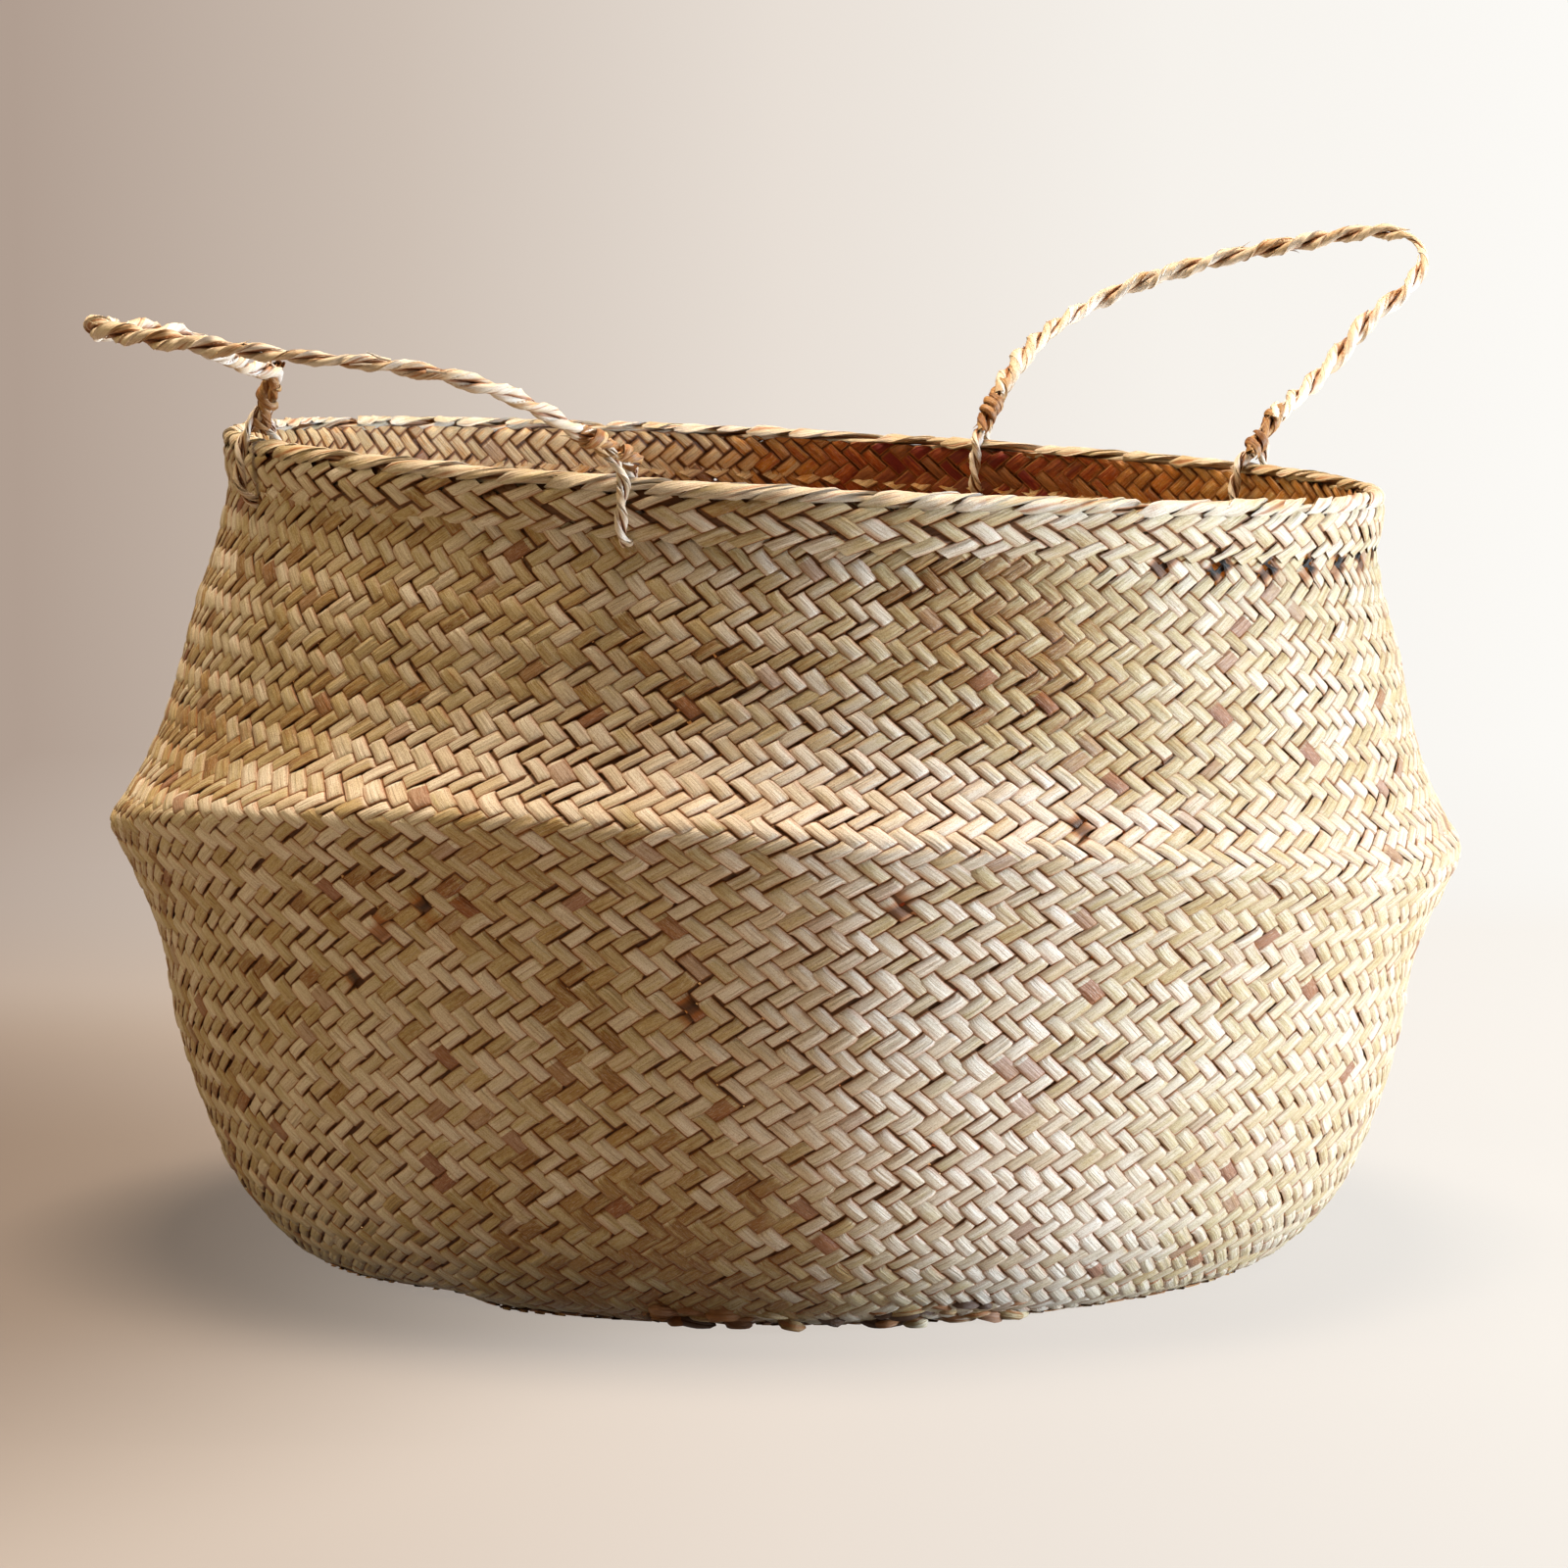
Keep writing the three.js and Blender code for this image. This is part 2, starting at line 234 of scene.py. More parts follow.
# %% Map the lattice on to the wall
STRIPS = 152  # in each direction
ROWS_TO_CREASE = 26.0
ROWS_CREST = 4.0  # extra rows under the crease where it runs high
ROWS = 47.0
CROWDING = 0.04  # how much closer the strips lie at the front and back
DRIFT = 0.085  # strips that the columns lean by in each row
TILT_ROWS = 2.3  # how far the rows climb from one side of the basket to the other
TILT_ANGLE = math.radians(15)
UNDER_FOOT = -0.3  # rows that run on under the foot and into the border
INTO_BORDER = 0.45
BORDER_ROW = 5 * MM
CREASE_ROUND, CREASE_REACH = 0.8, 1.6  # rows
FOOT_LIFT, FOOT_LIFT_ROWS = 3 * MM, 3
FOOT_STEP_AT, FOOT_STEP_WIDTH, FOOT_LIFT_REACH = np.radians((-37, 1.2, 20))
NORMAL_REACH = 0.4  # strips over which the slope of the skin is measured


def wall_angle(u, v):
    turn = 2 * np.pi * (u + DRIFT * (v - ROWS / 2)) / STRIPS
    return turn - CROWDING * np.sin(2 * turn)


def wall_row(u, v):
    """Row of the wall, 0 at the foot and ROWS at the rim, at lattice counts u, v."""
    return v - TILT_ROWS * np.sin(wall_angle(u, v) - TILT_ANGLE)


def crease_row(angle):
    return ROWS_TO_CREASE + ROWS_CREST * crest(angle)


def foot_lift(angle, row):
    """The foot stands a little off the floor at the front left, and comes down in one step."""
    off = wrapped(angle) - FOOT_STEP_AT
    step = 1 / (1 + np.exp(off / FOOT_STEP_WIDTH))
    return FOOT_LIFT * step * bell(off, FOOT_LIFT_REACH) * np.exp(-row / FOOT_LIFT_ROWS)


def wall_skin(u, v):
    """Outside of the wall at lattice counts u, v. The fold at the crease is rounded a little, by taking
    the mean of the wall below, at and above it."""
    angle = wall_angle(u, v)
    row = np.clip(wall_row(u, v), UNDER_FOOT, ROWS + INTO_BORDER)
    crease = crease_row(angle)
    spread = CREASE_ROUND * bell(row - crease, CREASE_REACH)

    def wall_at(row):
        low = lower_point(angle, np.clip(row / crease, 0, 1))
        high = upper_point(angle, np.clip((row - crease) / (ROWS - crease), 0, 1))
        high[..., 2] += BORDER_ROW * np.clip(row - ROWS, 0, None)
        return np.where((row < crease)[..., None], low, high)

    skin = (wall_at(row - spread) + 2 * wall_at(row) + wall_at(row + spread)) / 4
    skin[..., 2] += foot_lift(angle, row)
    return skin


def on_wall(u, v):
    row = wall_row(u, v)
    return (row > UNDER_FOOT) & (row < ROWS + INTO_BORDER)


def unit(vectors):
    return vectors / np.maximum(np.linalg.norm(vectors, axis=-1, keepdims=True), 1e-12)


def skin_frame(skin, u, v):
    """The skin's point at u, v and its outward normal, measured over a little of the lattice."""
    across = skin(u + NORMAL_REACH, v) - skin(u - NORMAL_REACH, v)
    up = skin(u, v + NORMAL_REACH) - skin(u, v - NORMAL_REACH)
    return skin(u, v), unit(np.cross(across, up))


# %% [markdown]
# ## One ribbon
# Each strip is a thin closed ribbon. Its section is crowned, because a dried leaf isn't flat, and it has
# one or two lengthwise folds. Along its length it rises over two strips, dives and passes under two. The
# sections are slanted along the strips that it crosses. That puts the dive exactly at their edges, so the
# two layers never cut through each other. All the ribbons of one kind are computed as one array.

# %% Section and wave of a ribbon
SECTION = (  # place across the ribbon from edge to edge, and side: 1 out, 0 edge, -1 in
    (-0.5, 0), (-0.41, 1), (-0.16, 1), (0.16, 1), (0.41, 1), (0.5, 0), (0.36, -1), (-0.36, -1),
)
OVER_AT = [0.0, 0.13, 0.36, 1.0, 1.64, 1.87, 2.0, 2.25, 3.0, 3.75]  # crossings since it came out
OVER_HEIGHT = [0.0, 0.62, 0.94, 1.0, 0.94, 0.62, 0.0, -0.85, -1.0, -0.85]
SURFACED = 0.62  # height from which a strip lies in full light
OVER_PERIOD = 4
COMES_OUT = {1: -0.5, -1: 1.5}  # crossing where a strip of each lean comes out
WANDER_RATE = (0.12, 0.45)  # radians for each crossing


def wave_samples(leaning, first, last):
    """Crossings where sections stand, how high the strip rides there and the number of the float."""
    start = COMES_OUT[leaning] + OVER_PERIOD * math.floor((first - COMES_OUT[leaning]) / OVER_PERIOD)
    periods = math.ceil((last - start) / OVER_PERIOD) + 1
    at = np.concatenate([np.array(OVER_AT) + start + OVER_PERIOD * k for k in range(periods)])
    height = np.tile(OVER_HEIGHT, periods)
    float_number = np.repeat(np.arange(2 * periods), len(OVER_AT) // 2)
    keep = (at >= first) & (at <= last)
    return at[keep], height[keep], float_number[keep]


def strip_wobble(rng, count, at, size):
    """Slow sideways wander of each strip."""
    phase = rng.uniform(0, 2 * np.pi, (count, 2))
    rate = rng.uniform(*WANDER_RATE, (count, 2))
    waves = np.sin(at[None, :, None] * rate[:, None, :] + phase[:, None, :])
    return size * waves.mean(axis=2)


# %% Turn arrays of ribbons into a mesh
SHARP_ANGLE = math.radians(55)


def ribbon_faces(strips, samples, ring):
    """Quads of open tubes: strips x samples x ring vertices."""
    s, n, k = np.meshgrid(np.arange(strips), np.arange(samples - 1), np.arange(ring), indexing="ij")
    base = (s * samples + n) * ring
    after = (k + 1) % ring
    return stacked(base + k, base + after, base + ring + after, base + ring + k).reshape(-1, 4)


def make_mesh(name, parts, lowest):
    """Parts of (points, faces, look, grain) as one mesh object, with no point under `lowest`. look and
    grain become attributes of the vertices, which the straw material reads."""
    starts = np.cumsum([0] + [len(points) for points, *_ in parts])
    moved = [(p, faces + start, l, g) for (p, faces, l, g), start in zip(parts, starts)]
    points, faces, look, grain = (np.concatenate(arrays) for arrays in zip(*moved))
    points[:, 2] = np.maximum(points[:, 2], lowest)
    mesh = bpy.data.meshes.new(name)
    mesh.vertices.add(len(points))
    mesh.vertices.foreach_set("co", points.astype(np.float32).ravel())
    mesh.loops.add(faces.size)
    mesh.loops.foreach_set("vertex_index", faces.astype(np.int32).ravel())
    mesh.polygons.add(len(faces))
    mesh.polygons.foreach_set("loop_start", np.arange(0, faces.size, faces.shape[1], dtype=np.int32))
    mesh.update(calc_edges=True)
    mesh.polygons.foreach_set("use_smooth", np.full(len(faces), True))
    for label, values in (("look", look), ("grain", grain)):
        attribute = mesh.attributes.new(label, "FLOAT_VECTOR", "POINT")
        attribute.data.foreach_set("vector", values.astype(np.float32).ravel())
    mesh.set_sharp_from_angle(angle=SHARP_ANGLE)
    mesh.validate()
    return new_object(name, mesh)


# %% Say how strips differ
STRIP_THICK = 0.6 * MM
LIFT = 0.40 * MM
FOLD = 0.10 * MM
STRIP_SPREAD, STRIP_WIDTHS = 0.09, (0.75, 1.12)  # widths of whole strips, and the limits to them
FLOAT_WIDTHS = (0.88, 1.07)  # widths from float to float
SWAY = 0.06  # strips that a float wanders sideways
BULGE = (0.75, 1.3)
SHINGLE_SPREAD, SHINGLE_SWAY = 0.05 * MM, 0.06 * MM
OWN_TONE = 0.55  # share of the tone that changes from float to float
EVEN_TONE = 0.57
# Painted shade at the edges of each float, and where strips dive under.
EDGE_SHADE, EDGE_LIMIT = (0.4, 1.1), 1.5
DEPTH_SHADE = (0.7, 1.0)
INSIDE_SHADE_TONE = (-0.3, 0.4, -0.06)  # tone of the inside, painted lower as shade: its start, the share of the leaf's own, and its end
GRAIN_STEP, SIDE_STEP, STRIP_STEP = 3.7, 2, 37.0  # set the grain of strips and sides apart
SHADE_CONTRAST = (1.3, 0.42)  # contrast of the painted shade and of the tones between leaves, at the shaded left and at the lit right
SHADE_CONTRAST_FROM, SHADE_CONTRAST_OVER = -20 * MM, 140 * MM


def shade_contrast(place):
    """Contrast of the painted shade and of the leaves' tones: stronger on the shaded left of the basket,
    weaker and more even on the lit right.
    """
    share = np.clip((place[..., 0] - SHADE_CONTRAST_FROM) / SHADE_CONTRAST_OVER, 0, 1)
    return between(*SHADE_CONTRAST, share * share * (3 - 2 * share))


# %% Plait one family of strips
def plait_family(rng, skin, inside, numbers, span, leaning, style):
    """Ribbons with the given strip numbers, over the crossings in span. leaning is 1 for strips that climb
    to the right and -1 to the left. Only what the test `inside` accepts is kept."""
    at, wave, float_number = wave_samples(leaning, *span)
    count, floats = len(numbers), float_number.max() + 1

    def per_float(low, high):
        return rng.uniform(low, high, (count, floats))[:, float_number]

    width = style["width"] * np.clip(rng.normal(1, STRIP_SPREAD, (count, 1)), *STRIP_WIDTHS)
    width = width * per_float(*FLOAT_WIDTHS)
    sway = per_float(-SWAY, SWAY) * np.sin((at - COMES_OUT[leaning]) * np.pi / 2)
    wobble = strip_wobble(rng, count, at, style["wander"]) + per_float(-SWAY, SWAY) + sway
    riding = wave * per_float(*BULGE)
    tone = between(rng.uniform(0, 1, (count, 1)), per_float(0, 1), OWN_TONE)
    tone = np.clip(tone + style["tone"], 0, 1)
    hue = per_float(*style["hue"])
    edge_shade = per_float(*EDGE_SHADE)
    shingle = style["shingle"] + rng.normal(0, SHINGLE_SPREAD, (count, 1))
    shingle = shingle + per_float(-SHINGLE_SWAY, SHINGLE_SWAY)
    folds = rng.normal(0, FOLD, (count, floats, len(SECTION)))[:, float_number]

    number = np.asarray(numbers, float)[:, None]
    u, v = number + leaning * at / 2, at / 2 + 0 * number
    middle, normal = skin_frame(skin, u, v)
    # Painted shade: the tones spread and the painted shade deepens towards the shaded left.
    contrast = shade_contrast(middle)
    # Painted light and shade: the tone is raised and lowered by place.
    tone = np.clip(between(EVEN_TONE, tone, contrast) + style["bleach"](u, v), 0, 1)
    # Painted light and shade on the inside of the leaf, by place.
    inner = INSIDE_SHADE_TONE[0] + INSIDE_SHADE_TONE[1] * tone + style["inner_light"](u, v)
    inner = np.minimum(inner, INSIDE_SHADE_TONE[2])
    edge_shade = np.clip(edge_shade * contrast, 0, EDGE_LIMIT)
    opened = style["opened"](u, v)
    width = width * (1 - style["narrowed"] * opened)
    # Painted shade: the openings are darkened towards near black, as the shade seen through them.
    stain = style["stain"] * opened**1.5
    length = 0.5 * at * style["step"] + STRIP_STEP * number
    points, look, grain = [], [], []
    for k, (x, side) in enumerate(SECTION):
        across = x * width + wobble
        crown = style["crown"] * (1 - (2 * x) ** 2)
        fold = folds[:, :, k] if side > 0 else 0
        height = riding * (LIFT + crown) + shingle * 2 * x * leaning + side * STRIP_THICK / 2 + fold
        place = skin(u + across / 2, v - leaning * across / 2)
        points.append(place + normal * (height - style["inset"])[..., None])
        # Painted shade: each point gets an amount of shade from how far the strip dives under, from its edges
        # and from the openings.
        seen = wave if side >= 0 else -wave
        painted_shade = np.clip(1 - seen / SURFACED, 0, 1) * between(*DEPTH_SHADE, contrast)
        painted_shade = np.maximum(np.maximum(painted_shade, stain), edge_shade if side == 0 else 0.0)
        look.append(stacked(inner if side < 0 else tone, hue, painted_shade))
        grain.append(stacked(x * style["width_mm"], length, number * GRAIN_STEP + SIDE_STEP * side))
    points, look, grain = (np.stack(values, axis=2).reshape(-1, 3) for values in (points, look, grain))
    faces = ribbon_faces(count, len(at), len(SECTION))
    kept = inside(u, v)
    kept = (kept[:, :-1] | kept[:, 1:]).reshape(-1)
    faces = faces.reshape(-1, len(SECTION), 4)[kept].reshape(-1, 4)
    used, faces = np.unique(faces, return_inverse=True)
    faces = faces.reshape(-1, 4)
    return points[used], faces if leaning > 0 else faces[:, ::-1], look[used], grain[used]


def plait(seed, skin, inside, numbers, span, right, left):
    """Both families of a plait, each as (points, faces, look, grain)."""
    rng = np.random.default_rng(seed)
    families = ((1, right), (-1, left))
    return [plait_family(rng, skin, inside, numbers, span, leaning, style) for leaning, style in families]


# %% [markdown]
# ## The straw itself
# Dried seagrass is never one colour. Each leaf runs from pale straw to tan, some are amber or greenish,
# and the leaf has fine ribs along its length. A picture texture would repeat, so the colour is made from
# what each vertex knows about itself: a tone and a hue for its leaf, how much painted shade it gets for
# lying deep in the plait, at an edge or in an opening, and its place across and along the leaf in
# millimetres. Noise stretched along the leaf gives the ribs. Shade is painted too. The deep places are
# painted a dark warm brown, warm because light that gets in there has bounced off straw. The edges of
# flat leaves are painted orange-brown, openings near black, and the inside of the leaf darker and redder.

# %% Small node helpers
class Nodes:
    """The nodes of one material, with a short name for each kind that is used here."""

    def __init__(self, name):
        self.material = bpy.data.materials.new(name)
        self.material.use_nodes = True
        self.tree = self.material.node_tree

    def feed(self, socket, value):
        if isinstance(value, bpy.types.NodeSocket):
            self.tree.links.new(value, socket)
        else:
            socket.default_value = value

    def add(self, kind, inputs=None, **settings):
        node = self.tree.nodes.new("ShaderNode" + kind)
        for key, value in settings.items():
            setattr(node, key, value)
        for key, value in (inputs or {}).items():
            self.feed(node.inputs[key], value)
        return node

    def split(self, vector):
        return self.add("SeparateXYZ", {"Vector": vector}).outputs

    def maths(self, operation, *values):
        return self.add("Math", dict(enumerate(values)), operation=operation).outputs[0]

    def plus(self, first, second):
        return self.maths("ADD", first, second)

    def times(self, first, second):
        return self.maths("MULTIPLY", first, second)

    def remap(self, value, low, high, to_low=0.0, to_high=1.0, way="SMOOTHSTEP"):
        inputs = {"Value": value, "From Min": low, "From Max": high, "To Min": to_low, "To Max": to_high}
        return self.add("MapRange", inputs, interpolation_type=way).outputs["Result"]

    def ramp(self, factor, stops):
        node = self.add("ValToRGB", {"Fac": factor})
        elements = node.color_ramp.elements
        while len(elements) < len(stops):
            elements.new(0.5)
        for element, (place, colour) in zip(elements, stops):
            element.position = place
            element.color = colour
        return node.outputs["Color"]

    def mix(self, factor, first, second, mode="MIX"):
        node = self.add("Mix", {"Factor": factor}, data_type="RGBA", blend_type=mode)
        for socket, value in zip([s for s in node.inputs if s.type == "RGBA"], (first, second)):
            self.feed(socket, value)
        return next(s for s in node.outputs if s.type == "RGBA")


def tint(red, green, blue):
    """A colour written as on a screen, 0 to 255, as the linear colour that Blender wants."""
    shares = np.array((red, green, blue)) / 255
    return (*np.where(shares <= 0.04045, shares / 12.92, ((shares + 0.055) / 1.055) ** 2.4), 1.0)


def tints(*stops):
    """Stops of a ramp: place, red, green and blue."""
    return [(at, tint(*colour)) for at, *colour in stops]


# %% Mix the straw
ROUND_GRAIN = 100.0  # added to the place across of a rolled strand, which has no edges
ROUGHNESS = (0.65, 0.43)  # in the specks and between them
BUMP_DISTANCE = 0.5 * MM
# The inside of the leaf is painted darker and redder, as the shade inside the basket.
INSIDE_SHADE_STOPS = tints((0, 120, 10, 0), (0.18, 184, 92, 8), (0.34, 212, 146, 52), (0.48, 234, 206, 156))
STRAW = {
    "olive": tint(184, 156, 96),
    "amber": tint(140, 72, 10),
    # Painted shade at the edges of flat leaves, orange-brown.
    "edge": tint(200, 118, 32),
    "rib": tint(158, 112, 60),
    "fibre": tint(230, 220, 204),
    "speck": tint(178, 140, 90),
    # Painted shade between the leaves: orange, then dark brown deeper in, then near black.
    "gap_shade": tint(156, 88, 16),
    "deep_shade": tint(90, 51, 12),
    "darkest_shade": tint(24, 12, 4),
}


def straw_material(
    name, leaf_stops, deep_shade=STRAW["deep_shade"], rib=1.0, mottled=1.0, relief=0.7, olive=0.42, gap_shade_at=0.1
):
    """leaf_stops are the colours of tones 0 to 1. Tones under 0 are the inside of the leaf, painted darker
    and redder as shade. deep_shade is the painted shade between the leaves, mottled how strongly ribs, fibres
    and specks show, relief the strength of the bump, olive how far some leaves turn green, and gap_shade_at
    the amount of painted shade from which a place is painted orange as shade."""
    n = Nodes(name)
    grain = n.add("Attribute", attribute_name="grain").outputs["Vector"]
    tone, hue, shade_paint = n.split(n.add("Attribute", attribute_name="look").outputs["Vector"])
    off_middle = n.maths("ABSOLUTE", n.split(grain)["X"])

    def noise(across, along, detail, roughness):
        """Noise with so many waves in a millimetre across and along the leaf."""
        scaled = n.add("VectorMath", {0: grain, 1: (across, along, 1.0)}, operation="MULTIPLY").outputs[0]
        inputs = {"Vector": scaled, "Scale": 1.0, "Detail": detail, "Roughness": roughness}
        return n.add("TexNoise", inputs).outputs["Fac"]

    def from_middle(value, size):
        return n.times(n.maths("SUBTRACT", value, 0.5), size)

    folds = noise(0.75 * rib, 0.03, 2.0, 0.5)
    ribs = noise(2.2 * rib, 0.07, 4.0, 0.65)
    fibres = noise(5.0 * rib, 0.5, 2.0, 0.6)
    stains = noise(0.25, 0.12, 3.0, 0.6)
    specks = noise(3.6, 2.4, 3.0, 0.8)
    # The ramp holds the inside of the leaf up to 0.48 and the outside from 0.5.
    shift = n.plus(from_middle(stains, 0.8), from_middle(folds, 0.8))
    place = n.maths("MULTIPLY_ADD", n.plus(tone, shift), 0.5, 0.5)
    outside = n.maths("GREATER_THAN", tone, -0.03)
    place = n.maths("MAXIMUM", place, n.times(outside, 0.5))
    place = n.maths("MINIMUM", place, n.maths("MULTIPLY_ADD", outside, 0.52, 0.48))
    # Painted shade: the edges of flat leaves are coloured darker and orange.
    edge_shade_share = n.remap(n.plus(off_middle, from_middle(stains, 2.4)), 1.0, 2.7, 0.0, 0.48)
    flat_leaf = n.maths("LESS_THAN", off_middle, ROUND_GRAIN / 2)
    pale = n.remap(fibres, 0.5, 0.72, 0.0, 0.35 * mottled)
    layers = (
        ("olive", n.remap(hue, 0.35, 1.0, 0.0, olive), "MIX"),
        ("amber", n.remap(hue, 0.05, 0.0, 0.0, 0.85), "MIX"),
        ("edge", n.times(edge_shade_share, flat_leaf), "MULTIPLY"),
        ("rib", n.remap(ribs, 0.52, 0.3, 0.0, 0.55 * mottled), "MULTIPLY"),
        ("fibre", n.times(pale, n.remap(place, 0.0, 0.3)), "MIX"),
        ("speck", n.remap(specks, 0.54, 0.32, 0.0, 0.6 * mottled), "MULTIPLY"),
        # Painted shade, laid on by the amount of shade that each point carries.
        ("gap_shade", n.remap(shade_paint, gap_shade_at, 0.6, 0.0, 0.8), "MIX"),
        ("deep_shade", n.remap(shade_paint, 0.5, 1.0, 0.0, 0.94), "MIX"),
        ("darkest_shade", n.remap(shade_paint, 1.0, 1.8), "MIX"),
    )
    leaf = n.ramp(place, INSIDE_SHADE_STOPS + [(0.5 + 0.5 * at, colour) for at, colour in leaf_stops])
    colours = {**STRAW, "deep_shade": deep_shade}
    for colour, share, mode in layers:
        leaf = n.mix(share, leaf, colours[colour], mode)
    height = n.plus(n.times(folds, 2.0), n.times(ribs, 0.9))
    height = n.plus(height, n.times(specks, 0.2))
    bump = n.add("Bump", {"Height": height, "Strength": relief, "Distance": BUMP_DISTANCE})
    shader = n.tree.nodes["Principled BSDF"].inputs
    n.feed(shader["Base Color"], leaf)
    n.feed(shader["Normal"], bump.outputs["Normal"])
    n.feed(shader["Roughness"], n.remap(specks, 0.3, 0.7, *ROUGHNESS))
    return n.material


# %% Choose the straws
PLAIT_STOPS = tints(
    (0, 148, 110, 58), (0.16, 176, 155, 108), (0.42, 196, 184, 148), (0.7, 213, 206, 189), (1, 231, 227, 219)
)
ROPE_STOPS = tints(
    (0, 136, 94, 54), (0.12, 188, 154, 116), (0.35, 214, 196, 170), (0.7, 226, 216, 202), (1, 236, 232, 226)
)
SPLICE_STOPS = tints((0, 104, 60, 24), (0.3, 146, 96, 46), (0.65, 190, 148, 94), (1, 222, 192, 146))
ROPE_LOOK = {"rib": 0.8, "mottled": 0.6, "relief": 0.35, "olive": 0.1, "gap_shade_at": 0.3}
SPLICE_LOOK = {"rib": 0.8, "mottled": 0.8, "relief": 0.5, "olive": 0.1, "gap_shade_at": 0.2}
STRAWS = {
    "plaited_seagrass": straw_material("plaited_seagrass", PLAIT_STOPS),
    "rim_seagrass": straw_material("rim_seagrass", PLAIT_STOPS, rib=0.9),
    "rope_seagrass": straw_material("rope_seagrass", ROPE_STOPS, tint(84, 44, 14), **ROPE_LOOK),
    "splice_seagrass": straw_material("splice_seagrass", SPLICE_STOPS, tint(58, 30, 12), **SPLICE_LOOK),
}
CLEAR_OF_FLOOR = 0.1 * MM


def make_piece(name, parts, slot, body, *nodes, lowest=CLEAR_OF_FLOOR):
    """Make one mesh, and give it its straw, the body that it rides on and the solids that it stands for."""
    piece = make_mesh(name, parts, lowest)
    piece.data.materials.append(STRAWS[slot])
    if body:
        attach(piece, body)
    if nodes:
        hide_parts(*nodes)
    print(f"{name}: {len(piece.data.polygons)} faces")
    return piece


# %% [markdown]
# ## The walls
# Not every leaf is the same. Under the rim at the right the strips have pulled apart into a row of dark
# slits, and a few loose spots show elsewhere. There the strips are narrowed, and painted near black as
# the shade seen through the openings. Light and shade are painted into the tone of the leaves: paler on
# the shelf over the crease and the right of the lower wall, browner in other places, and on the inside
# paler at the left back and darker at the right back. Each is a soft field laid over the tone of the
# leaves. The wall is made in eight pieces, as one mesh of it would be heavy.

# %% Open the slits
SLIT_ROW, SLIT_HALF_HEIGHT = ROWS - 2.6, 0.7
SLIT_ANGLE, SLIT_REACH = math.radians(56), 0.45
SLIT_PITCH = 2 * np.pi * 3 / STRIPS
LOOSE_SPOTS = ((-36, 23.2), (-40, 20.5), (-31, 24.5), (9, 25.6), (24, 30.2), (-8, 20.0))  # degrees, row
SPOT_HALF_WIDTH, SPOT_SHARE = 0.016, 0.7


def slits(angle):
    """Where round the rim the slits under the band lie: 1 in a slit, 0 between."""
    angle = wrapped(angle)
    reach = np.exp(-(((angle - SLIT_ANGLE) / SLIT_REACH) ** 4))
    return reach * np.clip(1.8 * np.cos(2 * np.pi * angle / SLIT_PITCH) - 0.3, 0, 1)


def openings(u, v):
    """1 in the middle of a slit under the rim or of a loose spot, and 0 away from them."""
    angle, row = wrapped(wall_angle(u, v)), wall_row(u, v)
    share = slits(angle) * bell(row - SLIT_ROW, SLIT_HALF_HEIGHT)
    for degrees, at in LOOSE_SPOTS:
        spot = bell(angle - math.radians(degrees), SPOT_HALF_WIDTH) * bell(row - at, SLIT_HALF_HEIGHT)
        share = share + SPOT_SHARE * spot
    return np.clip(share, 0, 1)


# %% Paint light and shade into the leaves
PAINTED_LIGHT_PLACES = (  # painted light and shade: azimuth and half width in degrees, rows over the crease and reach in rows, change of tone
    (0, 45, 2.2, 2.4, 0.6),
    (12, 13, -12, 12, 0.4),
    (19, 12, 12, 6, -0.45),
    (-62, 14, 4.5, 3, -0.4),
    (-28, 22, -16, 12, 0.3),
    (35, 14, 3, 4, -0.2),
    (24, 13, -23, 9, 0.45),
    (-12, 22, -26, 8, -0.7),
    (-13, 16, 3, 3, 0.4),
    (2, 7, -13, 14, 0.45),
    (2, 7, 12, 6, 0.25),
    (-17, 9, -12, 12, -0.25),
    (-52, 11, -20, 8, 0.35),
    (-42, 14, -27, 6, 0.25),
)
PAINTED_INNER_LIGHT = ((0.75, -145, 2), (-1.2, 166, 10), (-0.15, 110, 4))  # painted light and shade on the inside: change of tone, azimuth, power


def wall_painted_light(u, v):
    """Painted light and shade: the change of tone of the outside, by the table of places."""
    angle = wrapped(wall_angle(u, v))
    over = wall_row(u, v) - crease_row(angle)
    return sum(
        amount * bell(angle - math.radians(degrees), math.radians(wide)) * bell(over - at, reach)
        for degrees, wide, at, reach, amount in PAINTED_LIGHT_PLACES
    )


def inner_light(u, v):
    """Painted light and shade inside: paler at the left back, where light falls, and darker at the right
    back, in shade.
    """
    angle = wall_angle(u, v)
    return sum(amount * lobe(angle, math.radians(degrees), power) for amount, degrees, power in PAINTED_INNER_LIGHT)


# %% Weave the walls
CLIMBING_RIGHT = {
    # The openings are narrowed, and painted darker as the shade seen through them.
    "opened": openings, "narrowed": 0.7, "stain": 2.6,
    "bleach": wall_painted_light, "inner_light": inner_light, "tone": -0.06, "hue": (0.0, 1.0),
    "width": 1.03, "wander": 0.10, "crown": 0.30 * MM, "shingle": 0.10 * MM, "inset": WALL_THICK / 2,
    "step": 9.6, "width_mm": 4.6,
}
CLIMBING_LEFT = {
    **CLIMBING_RIGHT, "tone": 0.08, "hue": (0.0, 0.8),
    "width": 1.12, "crown": 0.55 * MM, "shingle": 0.17 * MM, "width_mm": 5.2,
}
GROUPS = 8
WALL_SEED = 100
WALL_SPAN = (-2 * TILT_ROWS - 2, 2 * (ROWS + TILT_ROWS) + 2)
